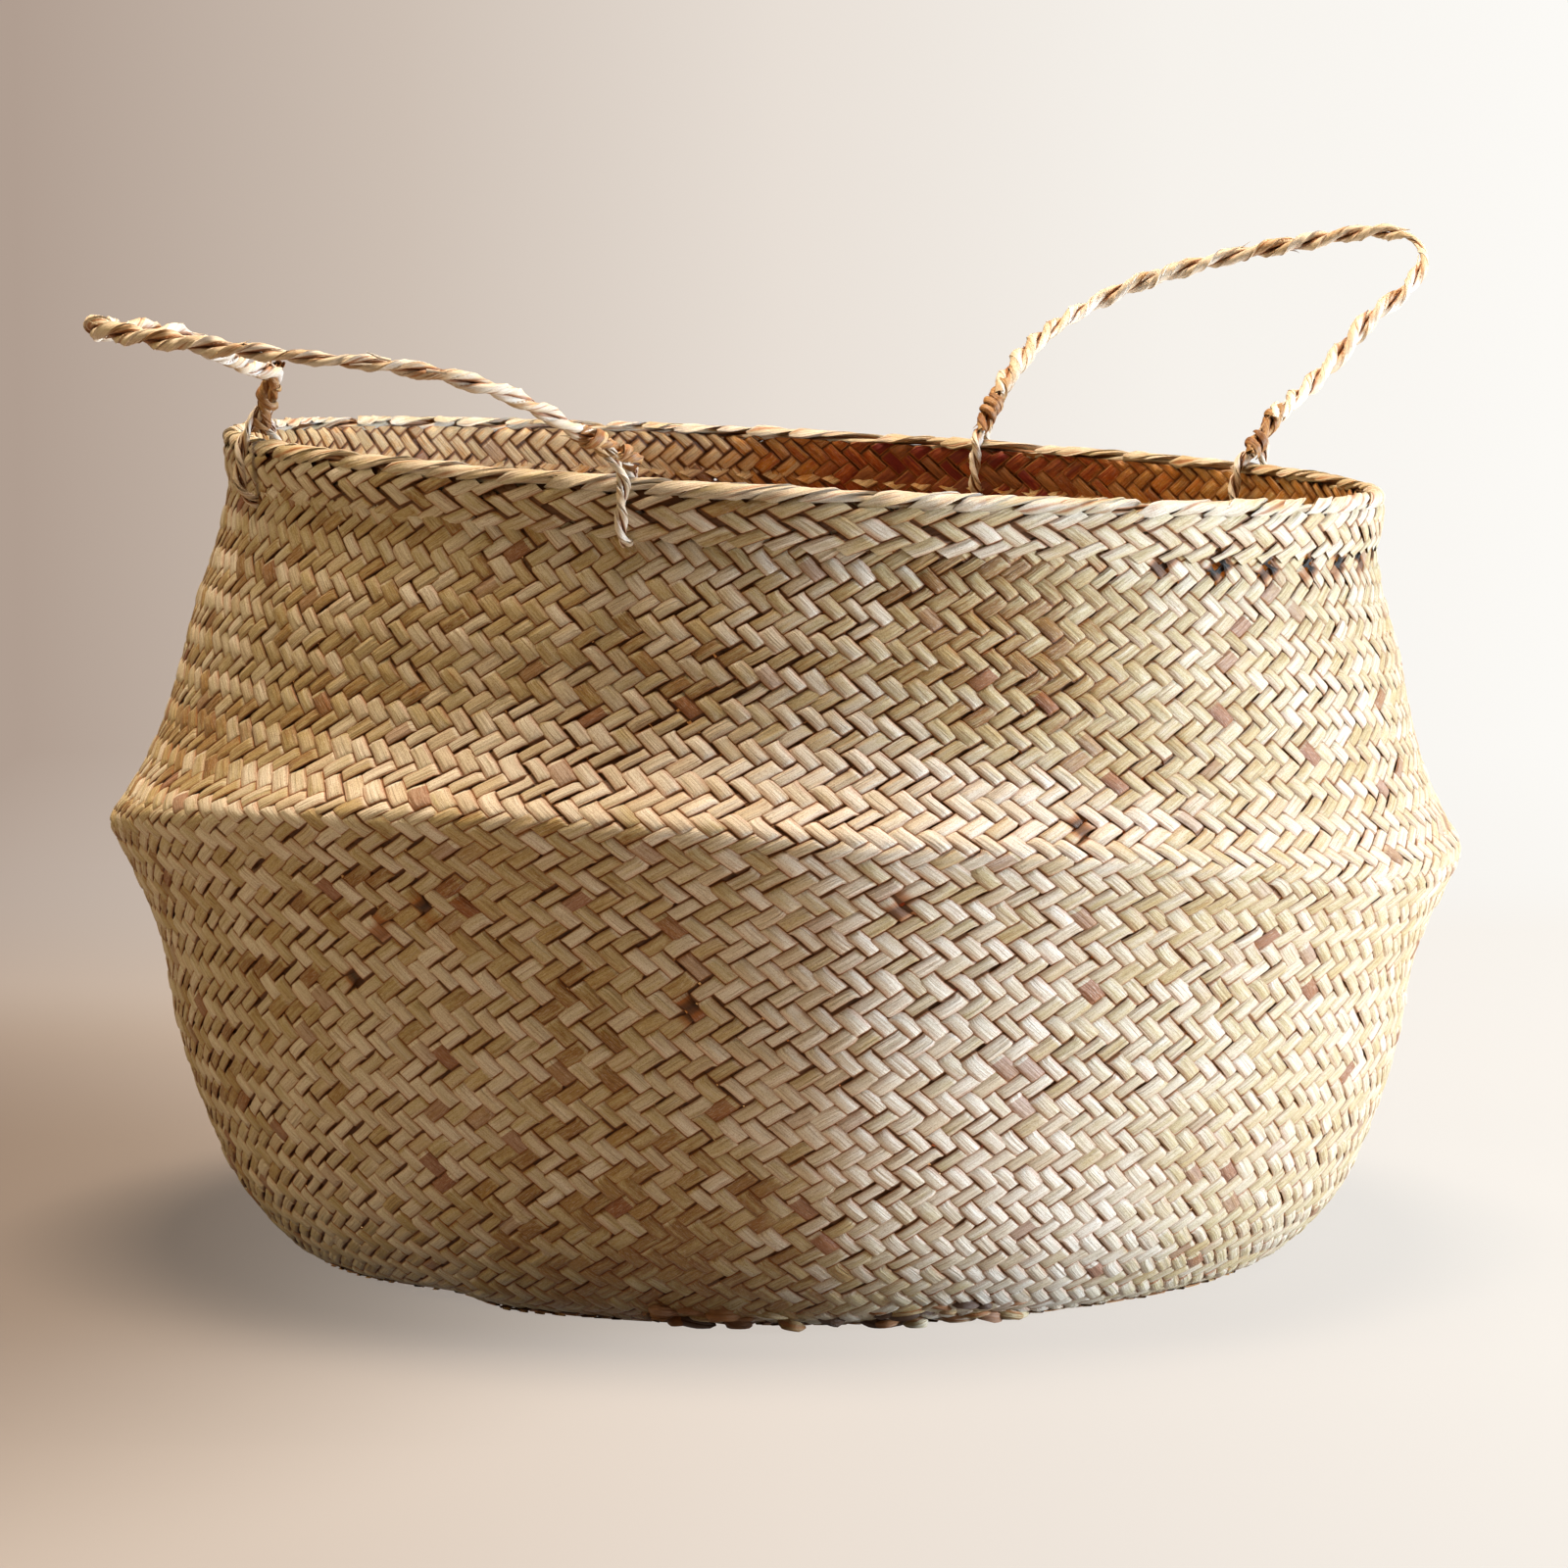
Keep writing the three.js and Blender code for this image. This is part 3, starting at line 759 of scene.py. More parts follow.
for group in range(GROUPS):
    lattice = wall_skin, on_wall, np.arange(group * STRIPS // GROUPS, (group + 1) * STRIPS // GROUPS)
    families = plait(WALL_SEED + group, *lattice, WALL_SPAN, CLIMBING_RIGHT, CLIMBING_LEFT)
    make_piece(f"wall_plait_{group + 1}", families, "plaited_seagrass", "basket", "lower_wall", "upper_wall")

# %% [markdown]
# ## The base
# The base is one flat mat of the same strips, over two and under two, square to each other. The strips
# end under the foot of the wall. The mat is woven as a square lattice on a plane, and everything outside
# the round foot is pulled in to its edge.

# %% Weave the base
MAT_PITCH = 6.6 * MM
MAT_REACH = BASE_RADIUS + 3 * MM
MAT_MIDDLE = BASE_THICK / 2
MAT_HALF = math.ceil(1.45 * MAT_REACH / MAT_PITCH)
MAT_RISE = 6  # power with which the mat follows the lifted foot towards its edge
BASE_SEED = 7


def nowhere(u, v):
    return 0 * u


def mat_skin(u, v):
    """A flat square lattice in the plane of the base."""
    return stacked(u * MAT_PITCH, v * MAT_PITCH, MAT_MIDDLE)


def on_mat(u, v):
    return np.hypot(u, v) * MAT_PITCH < MAT_REACH


PLAIN = {"opened": nowhere, "bleach": nowhere, "inner_light": nowhere, "stain": 0.0, "inset": 0.0}
flat = {**PLAIN, "width": 0.98, "step": 9.0}
right, left = {**CLIMBING_RIGHT, **flat}, {**CLIMBING_LEFT, **flat, "crown": 0.35 * MM}
lattice = mat_skin, on_mat, np.arange(-MAT_HALF, MAT_HALF + 1), (-2 * MAT_HALF, 2 * MAT_HALF)
for number, family in enumerate(plait(BASE_SEED, *lattice, right, left), 1):
    x, y, z = family[0].T
    pull = np.minimum(1, MAT_REACH / np.maximum(np.hypot(x, y), 1e-6))
    x *= pull
    y *= pull
    z += foot_lift(np.arctan2(x, -y), 0) * np.clip(np.hypot(x, y) / MAT_REACH, 0, 1) ** MAT_RISE
    name, lowest = f"base_plait_{number}", CLEAR_OF_FLOOR / 2
    make_piece(name, [family], "plaited_seagrass", "basket", "base_mat", lowest=lowest)

# %% [markdown]
# ## The rim
# At the rim the strips are doubled over a coarser band, about 14 mm deep, whose pieces lie nearly along
# the edge. Long strands twisted round each other finish the top. The band is the same lattice with fewer
# strips, on a skin just outside the wall. It keeps a ragged lower edge, narrowed over the slits.

# %% Weave the rim band
BAND_DEPTH = 14 * MM
BAND_STRIPS = 112
BAND_ROWS = 2.5
BAND_DRIFT = 0.2
BAND_SHOWN = 0.93  # of its depth
BAND_RISE, BAND_OUT = 0.6 * MM, 1.5 * MM
BAND_OVER, BAND_TUCK = 2.2 * MM, 0.9 * MM  # how far it turns in over the edge and at its lower end
BAND_FLARE = 0.12
BAND_EDGE = 0.5
BAND_SEED = 21


def rim_middle(angle, below):
    return on_ring(angle, RIM_RADIUS, rim_z(angle) - below, RIM_SHIFT_X)


def band_angle(u, v):
    return 2 * np.pi * (u + BAND_DRIFT * v) / BAND_STRIPS


def band_skin(u, v):
    """The middle of the doubled band, lowest at v = 0, turning in over the top edge."""
    angle = band_angle(u, v)
    share = v / BAND_ROWS
    over = np.clip((share - 0.8) / 0.3, 0, 1)
    tucked = np.clip((0.35 - share) / 0.35, 0, 1)
    z = rim_z(angle) - BAND_DEPTH * (1 - share) * BAND_SHOWN + BAND_RISE
    flare = (RIM_RADIUS - UPPER_WAIST_RADIUS) * BAND_FLARE * (share - 0.5)
    out = BAND_OUT - BAND_OVER * over**2 - BAND_TUCK * tucked**2 - flare
    return on_ring(angle, RIM_RADIUS + out, z, RIM_SHIFT_X)


def band_opened(u, v):
    return slits(band_angle(u, v)) * bell(v, BAND_EDGE)


def on_band(u, v):
    return (v >= 0) & (v <= BAND_ROWS)


loose = {**PLAIN, "opened": band_opened, "narrowed": 0.6, "step": 13.0, "wander": 0.18}
right = {**CLIMBING_RIGHT, **loose, "width": 1.02, "tone": 0.08}
left = {**CLIMBING_LEFT, **loose, "width": 0.9, "crown": 0.4 * MM}
lattice = band_skin, on_band, np.arange(BAND_STRIPS), (-1, 2 * BAND_ROWS + 1)
make_piece("rim_band_plait", plait(BAND_SEED, *lattice, right, left), "rim_seagrass", "basket", "rim_band")

# %% [markdown]
# ## Strands
# The border, the ropes and the eyes are all strands: a bundle of folded leaf rolled into a rough cord.
# A strand here is a closed tube carried along a path. Its section has grooves, like leaf edges seen end
# on, and the grooves wind round as the strand is twisted. A frame that never spins by itself is carried
# along the path first, so that all the twist is the twist that was asked for.

# %% Carry a frame along a path
CURVE_STEPS = 24  # between two points of a route


def along_line(wanted, known, rows):
    """What the rows hold at the known steps of a line, at the wanted steps."""
    return np.stack([np.interp(wanted, known, column) for column in rows.T], axis=1)


def smooth_path(points, spacing):
    """Centripetal curve through the points, resampled to even steps."""
    points = np.asarray(points, float)
    padded = np.vstack((2 * points[0] - points[1], points, 2 * points[-1] - points[-2]))
    pieces = []
    for k in range(1, len(padded) - 2):
        p = padded[k - 1 : k + 3]
        t = np.concatenate(([0], np.cumsum(np.linalg.norm(np.diff(p, axis=0), axis=1) ** 0.5)))
        x = np.linspace(t[1], t[2], CURVE_STEPS, endpoint=False)[:, None]
        a = [((t[i + 1] - x) * p[i] + (x - t[i]) * p[i + 1]) / (t[i + 1] - t[i]) for i in range(3)]
        b = [((t[i + 2] - x) * a[i] + (x - t[i]) * a[i + 1]) / (t[i + 2] - t[i]) for i in range(2)]
        pieces.append(((t[2] - x) * b[0] + (x - t[1]) * b[1]) / (t[2] - t[1]))
    curve = np.vstack(pieces + [points[-1:]])
    length = steps_along(curve)
    steps = max(2, int(round(length[-1] / spacing)))
    return along_line(np.linspace(0, length[-1], steps + 1), length, curve)


def path_frames(path):
    """Tangent, side and up along a path, without spin."""
    tangent = unit(np.gradient(path, axis=0))
    side = np.cross(tangent[0], (0, 0, 1))
    side = side if np.linalg.norm(side) > 1e-3 else np.cross(tangent[0], (0, 1, 0))
    sides = []
    for t in tangent:
        side = unit(side - t * np.dot(side, t))
        sides.append(side)
    sides = np.array(sides)
    return tangent, sides, np.cross(sides, tangent)


def turned(side, up, turn):
    """The direction at an angle from side towards up, for each sample."""
    return side * np.cos(turn)[:, None] + up * np.sin(turn)[:, None]


def uneven(rng, along, spacing, low, high):
    """A random value that changes smoothly along a strand."""
    knots = max(2, int(along[-1] / spacing) + 2)
    return np.interp(along, np.linspace(0, along[-1], knots), rng.uniform(low, high, knots))


# %% Roll a strand
STRAND_RING = 10
ANY_TURN = (0, 6.28)  # radians
THINNEST, TAPER_POWER = 0.1, 0.7
GRAIN_SPREAD, GIRTH_GRAIN = 500, 1.5


def strand(rng, path, radius, twist, flat, taper=(0, 0), tone=(0.2, 1.0), rope=None, face=None, groove=0.13):
    """One leaf strand. radius is in metres or one value per sample, twist in radians per metre. flat makes
    the section oval, with its broad side to face if that is given. taper gives the lengths over which the
    two ends thin out, and rope is the middle of the rope; the side of the strand that faces it is painted
    darker as shade, as are its grooves."""
    along = steps_along(path)
    tangent, side, up = path_frames(path)
    if face is not None:
        side = unit(np.cross(tangent, face))
        up = unit(np.cross(side, tangent))
    radius = np.broadcast_to(radius, along.shape) * uneven(rng, along, 5 * MM, 0.86, 1.14)
    for end, reach in zip((along, along[-1] - along), taper):
        if reach:
            radius = radius * np.clip(end / reach, THINNEST, 1) ** TAPER_POWER
    angle = np.linspace(0, 2 * np.pi, STRAND_RING, endpoint=False)
    turn = (twist * along + (0 if face is not None else rng.uniform(*ANY_TURN)))[:, None]
    phase = rng.uniform(*ANY_TURN, 3)
    lump = uneven(rng, along, 4 * MM, 0.3, 1.7)[:, None]
    ridges = groove * (lump * np.cos(3 * angle + phase[0]) + 0.6 * np.cos(5 * angle + phase[1]))
    r = radius[:, None] * (1 + ridges)
    x, y = r * np.cos(angle), r * np.sin(angle) * flat
    sideways = side[:, None] * (x * np.cos(turn) - y * np.sin(turn))[..., None]
    upwards = up[:, None] * (x * np.sin(turn) + y * np.cos(turn))[..., None]
    points = path[:, None] + sideways + upwards
    # Painted shade in the grooves of the strand, and on its side towards the middle of the rope.
    shade = np.clip(-ridges / groove * 0.4, 0, 1)
    if rope is not None:
        outward = unit(path - rope)[:, None]
        facing = (unit(points - path[:, None]) * outward).sum(axis=2)
        shade = np.maximum(shade, np.clip(0.9 * (0.25 - facing), 0, 1))
    tones = uneven(rng, along, 16 * MM, *tone)[:, None]
    look = stacked(tones, rng.uniform(0.05, 0.95), shade)
    around = ROUND_GRAIN + angle * radius.mean() / MM * GIRTH_GRAIN
    grain = stacked(around, (along / MM)[:, None], rng.uniform(0, GRAIN_SPREAD))
    faces = ribbon_faces(1, len(path), STRAND_RING)
    points, look, grain = (a.reshape(-1, 3) for a in (points, look, grain))
    for end, first in ((0, 0), (-1, (len(path) - 1) * STRAND_RING)):  # close both ends with a fan
        ring = first + np.arange(STRAND_RING)
        pair = (np.roll(ring, -1), ring) if end == 0 else (ring, np.roll(ring, -1))
        faces = np.vstack((faces, stacked(*pair, len(points), len(points))))
        added = (points, path[end]), (look, look[first]), (grain, grain[first])
        points, look, grain = (np.vstack(rows) for rows in added)
    return points, faces, look, grain


# %% Twist strands into ropes
PLIES = 2
PLY_RADIUS, PLY_SPIN, PLY_FLAT = 0.55, 0.8, 0.92
LEAF_TURN, LEAF_OUT, LEAF_WIDE, LEAF_FLAT, LEAF_GROOVE = 0.62, 0.24, 0.5, 0.5, 0.12


def twisted(rng, path, radius, lay, tone, leaves=1):
    """Plies laid round each other along a path, each of one or more leaves. radius is the rope's own and
    lay is the length of one turn."""
    along = steps_along(path)
    _, side, up = path_frames(path)
    radius = np.broadcast_to(radius, along.shape)
    phase = rng.uniform(*ANY_TURN)
    drift = uneven(rng, along, 40 * MM, -0.5, 0.5)
    parts = []
    for ply in range(PLIES):
        turn = phase + drift + 2 * np.pi * (along / lay + ply / PLIES)
        reach = radius * 0.5 * uneven(rng, along, 12 * MM, 0.85, 1.12)
        ply_path = path + turned(side, up, turn) * reach[:, None]
        if leaves == 1:
            spin = 2 * np.pi / lay * PLY_SPIN
            parts.append(strand(rng, ply_path, radius * PLY_RADIUS, spin, PLY_FLAT, tone=tone, rope=path))
            continue
        _, ply_side, ply_up = path_frames(ply_path)
        ply_phase = rng.uniform(*ANY_TURN)
        for leaf in range(leaves):
            roll = ply_phase + 2 * np.pi * (along / (lay * LEAF_TURN) + leaf / leaves)
            across = turned(ply_side, ply_up, roll)
            out = radius * LEAF_OUT * uneven(rng, along, 9 * MM, 0.8, 1.3)
            wide = radius * LEAF_WIDE * uneven(rng, along, 14 * MM, 0.8, 1.15)
            settings = {"tone": tone, "rope": path, "face": across, "groove": LEAF_GROOVE}
            parts.append(strand(rng, ply_path + across * out[:, None], wide, 0, LEAF_FLAT, **settings))
    return parts


def stray_fibres(rng, path, reach, count, length):
    """Thin ends that have come loose from a rope."""
    tangent, side, up = path_frames(path)
    parts = []
    for _ in range(count):
        k = rng.integers(2, len(path) - 2)
        spin = rng.uniform(*ANY_TURN)
        away = side[k] * math.cos(spin) + up[k] * math.sin(spin)
        along = tangent[k] * rng.choice((-1, 1))
        begin = path[k] + away * reach * 0.6
        long = length * rng.uniform(0.5, 1.3)
        bend = away * rng.uniform(0.05, 0.3) + rng.normal(0, 0.1, 3)
        points = [begin, begin + along * long * 0.5 + bend * long * 0.3, begin + along * long + bend * long]
        thin = rng.uniform(0.25, 0.6) * MM
        parts.append(strand(rng, smooth_path(points, 1.5 * MM), thin, 100, 0.6, (0, long * 0.7)))
    return parts


# %% [markdown]
# ## Loose ends and the border
# Two things keep the foot and the rim from looking machined. Under the foot some leaf ends have slipped
# out a little, pale or darker in tone, and some are painted darker as the shade under the foot. Along the
# rim a twisted strand is covered by leaf ends that come up outside, lie over it and go down inside.

# %% Tuck the last ends under the foot
TUCKED_SEED = 9
TUCKED_FROM, TUCKED_TO = math.radians(-16), math.radians(23)
TUCKED_ENDS = 48
TUCKED_TAPER = 3 * MM
TUCKED_TONES, TUCKED_SHADE = (0.0, 0.2, 0.5), (0.2, 0.7, 1.4)


def tucked_end(rng, angle):
    """A frayed leaf end that was pushed back under the foot and has slipped out a little."""
    out = BASE_RADIUS + rng.uniform(2.0, 6.0) * MM
    low = rng.uniform(1.2, 9.0) * MM
    reach = math.radians(rng.uniform(2.0, 5.0)) * rng.choice((-1, 1))
    t = np.linspace(0, 1, 9)
    around = angle + reach * t
    radius = out + 1.2 * low + rng.uniform(-1.5, 1.5) * MM * t - 3 * MM * (2 * t - 1) ** 2
    z = np.clip(low + rng.uniform(-3.0, 2.0) * MM * t, 1.0 * MM, None)
    face = stacked(np.sin(around), -np.cos(around), 0.35)
    wide = rng.uniform(0.9, 2.0) * MM
    tone = rng.choice(TUCKED_TONES)
    taper = (TUCKED_TAPER, TUCKED_TAPER)
    path = on_ring(around, radius, z)
    tones = (tone, tone + 0.3)
    points, faces, look, grain = strand(rng, path, wide, 0, 0.3, taper, tones, face=face, groove=0.2)
    # Painted shade: some ends are darkened as the shade under the foot.
    look[:, 2] = np.maximum(look[:, 2], rng.choice(TUCKED_SHADE))
    return points, faces, look, grain


rng = np.random.default_rng(TUCKED_SEED)
places = rng.uniform(TUCKED_FROM, TUCKED_TO, TUCKED_ENDS)
make_piece("tucked_ends", [tucked_end(rng, place) for place in places], "plaited_seagrass", "basket")

# %% Lay the border
BORDER_SEED = 5
BORDER_RISE = 2.3 * MM
BORDER_RADIUS = 2.1 * MM
BORDER_LAY = 64 * MM
BORDER_SAMPLES = 760
BORDER_LEAVES = 92
LEAF_SPAN = math.radians(9.5)
TOP = np.array((0.0, 0.0, 1.0))


def border_leaf(rng, start):
    """A leaf end that comes up outside the rim, lies over the border and goes down inside."""
    t = np.linspace(0, 1, 16)
    angle = start + LEAF_SPAN * rng.uniform(0.75, 1.25) * t
    around = np.radians(between(-55, 150, t**0.8) + rng.uniform(-15, 15))
    away = turned(stacked(np.sin(angle), -np.cos(angle), 0.0), TOP, around)
    loose = rng.uniform(0.2, 1.5) * MM * t**4
    path = rim_middle(angle, -BORDER_RISE) + away * (BORDER_RADIUS * 1.05 + loose)[:, None]
    wide = rng.uniform(1.7, 2.6) * MM
    return strand(rng, path, wide, 0, 0.34, (7 * MM, 5 * MM), (0.5, 1.1), face=away, groove=0.1)


rng = np.random.default_rng(BORDER_SEED)
angle = np.linspace(0, 2 * np.pi, BORDER_SAMPLES)
path = rim_middle(angle, -BORDER_RISE)
path[:, 2] += 0.3 * MM * (np.sin(angle * 23) + np.sin(angle * 41 + 1))
length = steps_along(path)[-1]
parts = twisted(rng, path, BORDER_RADIUS, length / round(length / BORDER_LAY), (0.45, 1.0))
for k in range(BORDER_LEAVES):
    parts.append(border_leaf(rng, 2 * np.pi * (k + rng.uniform(-0.35, 0.35)) / BORDER_LEAVES))
make_piece("border_strands", parts, "rim_seagrass", "basket", "border_twist")

# %% [markdown]
# ## The handles
# Each handle is a two-ply rope of rolled leaf. At each end a strand goes through a hole under the rim
# and comes back over it, which makes an eye, and a short splice binds eye and rope. The rope is stiff
# enough to keep its arch, so it rides on its own body. The eye has to stay in its hole while the rope
# swings; here it rides on no body. A route holds shares of the handle: along from eye to eye, out by its
# reach and up by its rise.

# %% Routes of the ropes
ROPE_RADIUS = 3 * MM
EYE_RADIUS = 13.2 * MM
EYE_DROP = 4.7 * MM
EYE_STRAND = 2 * MM
SPLICE_LENGTH = 15 * MM
LEFT_HANDLE = {
    "name": "left",
    "front": math.radians(-16.5),
    "rear": math.radians(-67),
    "reach": 107 * MM,
    "rise": 49 * MM,
    "route": (
        (-0.95, 0.01, 0.5), (-0.86, 0.15, 0.69), (-0.73, 0.3, 0.77), (-0.65, 0.41, 0.81),
        (-0.59, 0.62, 0.95), (-0.61, 0.84, 0.99), (-0.53, 0.97, 1.01), (-0.27, 1.01, 0.99),
        (0.14, 0.94, 0.95), (0.46, 0.81, 0.91), (0.72, 0.65, 0.87), (0.88, 0.48, 0.77),
        (0.93, 0.3, 0.62), (0.95, 0.14, 0.46),
    ),
}
RIGHT_HANDLE = {
    "name": "right",
    "front": math.radians(124),
    "rear": math.radians(160),
    "reach": 119 * MM,
    "rise": 86 * MM,
    "route": (
        (-1.03, 0.1, 0.32), (-1.13, 0.31, 0.48), (-1.19, 0.49, 0.57), (-1.16, 0.64, 0.65),
        (-0.93, 0.73, 0.75), (-0.48, 0.86, 0.87), (0.05, 0.94, 0.96), (0.52, 1, 1.02),
        (0.8, 0.98, 1), (0.99, 0.9, 0.92), (1.01, 0.78, 0.79), (0.93, 0.66, 0.68),
        (0.89, 0.5, 0.51), (0.9, 0.34, 0.4), (1, 0.1, 0.29),
    ),
}


def plan_handle(handle):
    """Where the rope and the two splices of a handle lie, as in the solid model."""
    front, rear = (rim_middle(np.array(handle[end]), EYE_DROP) for end in ("front", "rear"))
    middle = (front + rear) / 2
    along = unit(front - rear)
    out = np.array((middle[0], middle[1], 0.0))
    out = unit(out - along * np.dot(out, along))
    up = np.cross(out, along)
    up = up if up[2] > 0 else -up
    half = np.linalg.norm(front - rear) / 2
    reach, rise = handle["reach"], handle["rise"]
    route = [middle + along * a * half + out * b * reach + up * c * rise for a, b, c in handle["route"]]
    ends = []
    for eye, aim in ((rear, route[0]), (front, route[-1])):
        start = eye + up * (EYE_RADIUS + EYE_STRAND)
        direction = unit(aim - start)
        ends.append({"start": start, "direction": direction, "end": start + direction * SPLICE_LENGTH})
    (first, last) = ends
    points = [first["end"], first["end"] + first["direction"] * ROPE_RADIUS]
    points += route[1:-1]
    points += [last["end"] + last["direction"] * ROPE_RADIUS, last["end"]]
    return {"name": handle["name"], "handle": handle, "rear": first, "front": last, "points": points}


plans = [plan_handle(LEFT_HANDLE), plan_handle(RIGHT_HANDLE)]
ENDS = [(plan, end) for plan in plans for end in ("rear", "front")]

# %% Lay the ropes
ROPE_SEED = 31
ROPE_LAY = 31 * MM
ROPE_SPACING = 1.3 * MM
THIN_PLACES = {  # distance along the rope, reach in mm and share of its thickness lost; under 0 it is thicker
    "left": ((200, 60, 0.22), (120, 45, -0.3)),
    "right": ((208, 11, 0.55), (12, 30, -0.35), (300, 50, -0.15)),
}
for seed, plan in enumerate(plans, ROPE_SEED):
    rng = np.random.default_rng(seed)
    name = plan["name"]
    path = smooth_path(plan["points"], ROPE_SPACING)
    along = steps_along(path)
    thinned = 1 - sum(loss * bell(along - at * MM, reach * MM) for at, reach, loss in THIN_PLACES[name])
    radius = ROPE_RADIUS * thinned * uneven(rng, along, 22 * MM, 0.9, 1.1)
    parts = twisted(rng, path, radius, ROPE_LAY, (0.1, 1.0), leaves=3)
    parts += stray_fibres(rng, path, ROPE_RADIUS, 22, 7 * MM)
    make_piece(f"{name}_rope_plies", parts, "rope_seagrass", f"{name}_handle", f"{name}_rope")
    print(name, "rope:", round(along[-1] / MM), "mm long")

# %% Bind the splices
SPLICE_SEED = 41
SPLICE_OVERLAP = (3 * MM, 6 * MM)  # into the eye and into the rope
SPLICE_RADIUS, SPLICE_LAY = 3 * MM, 22 * MM
WRAPS, WRAP_OUT, WRAP_RADIUS, WRAP_TAPER = 3, 3.2 * MM, 1.4 * MM, 5 * MM
for seed, (plan, end) in enumerate(ENDS, SPLICE_SEED):
    # Strand ends are wound round the place where the eye meets the rope, and a few stick out.
    rng = np.random.default_rng(seed)
    place, name = plan[end], plan["name"]
    before, beyond = (place["direction"] * overlap for overlap in SPLICE_OVERLAP)
    core = np.linspace(place["start"] - before, place["end"] + beyond, 22)
    parts = twisted(rng, core, SPLICE_RADIUS, SPLICE_LAY, (0.2, 0.9), leaves=3)
    known, (_, side, up) = np.arange(len(core)), path_frames(core)
    for _ in range(WRAPS):
        at = rng.uniform(0.0, 0.75)
        turn = np.linspace(0, rng.uniform(4.0, 7.0), 30)
        index = np.clip(at + turn * rng.uniform(0.03, 0.05), 0, 1) * (len(core) - 1)
        middle, wrap_side, wrap_up = (along_line(index, known, rows) for rows in (core, side, up))
        away = turned(wrap_side, wrap_up, turn + rng.uniform(*ANY_TURN))
        wrap = middle + away * WRAP_OUT
        parts.append(strand(rng, wrap, WRAP_RADIUS, 0, 0.5, (WRAP_TAPER, WRAP_TAPER), (0.1, 0.85), face=away))
    parts += stray_fibres(rng, core, 3.4 * MM, 8, 6 * MM)
    label, body = f"{name}_{end}_splice", f"{name}_handle"
    make_piece(f"{label}_binding", parts, "splice_seagrass", body, label)

# %% Pull the eyes through the wall
EYE_SEED = 51
EYE_LAY = 20 * MM
EYE_VISIBLE = 2.1 * MM
EYE_ROUTE = (  # mm out from the middle of the rim, and up
    (5.6, 5), (7.0, -4), (6.2, -10.5), (1.0, -14.5), (-6.4, -10.5), (-7.0, -2), (-4.6, 6),
)
EYE_STARTS, EYE_ENDS = 9 * MM, 2 * MM  # along the splice
for seed, (plan, end) in enumerate(ENDS, EYE_SEED):
    # The strand runs from the splice down outside the rim band, through the wall and up inside.
    rng = np.random.default_rng(seed)
    place, name, angle = plan[end], plan["name"], plan["handle"][end]
    radial = np.array((math.sin(angle), -math.cos(angle), 0.0))
    rim = rim_middle(np.array(angle), 0)
    splice = place["start"] + place["direction"] * EYE_ENDS
    route = [place["start"] + place["direction"] * EYE_STARTS]
    route += [rim + (radial * out + TOP * up) * MM for out, up in EYE_ROUTE] + [splice]
    parts = twisted(rng, smooth_path(route, 1.0 * MM), EYE_VISIBLE, EYE_LAY, (0.4, 1.0), leaves=2)
    piece = make_piece(f"{name}_{end}_eye_strand", parts, "rope_seagrass", None, f"{name}_{end}_eye")
    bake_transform(piece)

# %% [markdown]
# ## Floor, backdrop and light
# The photograph has a pale sweep that is bright at the right and falls to a warm grey at the left, with
# no line where the floor ends. The floor near the basket is partly really lit, so that it takes the
# shadow, and partly shows the sweep's own glow, a little at the left and most at the right. A soft
# shadow to the left of the basket is also painted into the sweep's colours. Far behind, the floor fades
# into the same colours as the backdrop. Those colours show in the view and in reflections, and throw no
# light of their own on the basket.
#
# The light is a low cool lamp at the right, like a window, a large warm one above, a small warm one at
# the left and a dim warm world. The right side of the floor also glows a little for the basket, as
# painted bounce light from its bright side.

# %% Colour the sweep
SWEEP_STOPS = tints(
    (0, 176, 158, 145), (0.25, 205, 191, 179), (0.5, 232, 223, 214), (0.75, 246, 242, 236), (1, 252, 250, 246)
)
SWEEP_HALF_WIDTH = 0.46
SWEEP_DEPTH = 1.6  # behind this the colours spread with the distance, so that they stay where they are
CAMERA_BACK = 1.93
FLOOR_FADE = (0.05, 1.0)  # where, going back, the lit floor fades into the sweep's own glow
FLOOR_TONE = tint(202, 209, 222)
FLOOR_OWN_LIGHT = (0.35, 0.85)  # share of that glow near the basket, at the left and at the right
FLOOR_TURN = (-0.28, 0.1)  # where it changes from the one to the other
# A painted shadow: the sweep is darkened in a soft patch to the left of the basket.
PAINTED_SHADOW = {"at": (-0.36, 0.02), "size": (0.36, 0.6), "share": 0.5, "tint": tint(124, 104, 86)}
# A glow on the right of the floor, seen only by the basket, as painted bounce light.
BOUNCE = {"from": 0.0, "to": 0.35, "strength": 0.5, "colour": (1.0, 0.94, 0.86, 1)}  # off the bright side
BOUNCE_BACK = (0.9, 0.4)  # it ends towards the back
BOUNCE_TINT = tint(250, 240, 224)  # off the shaded side


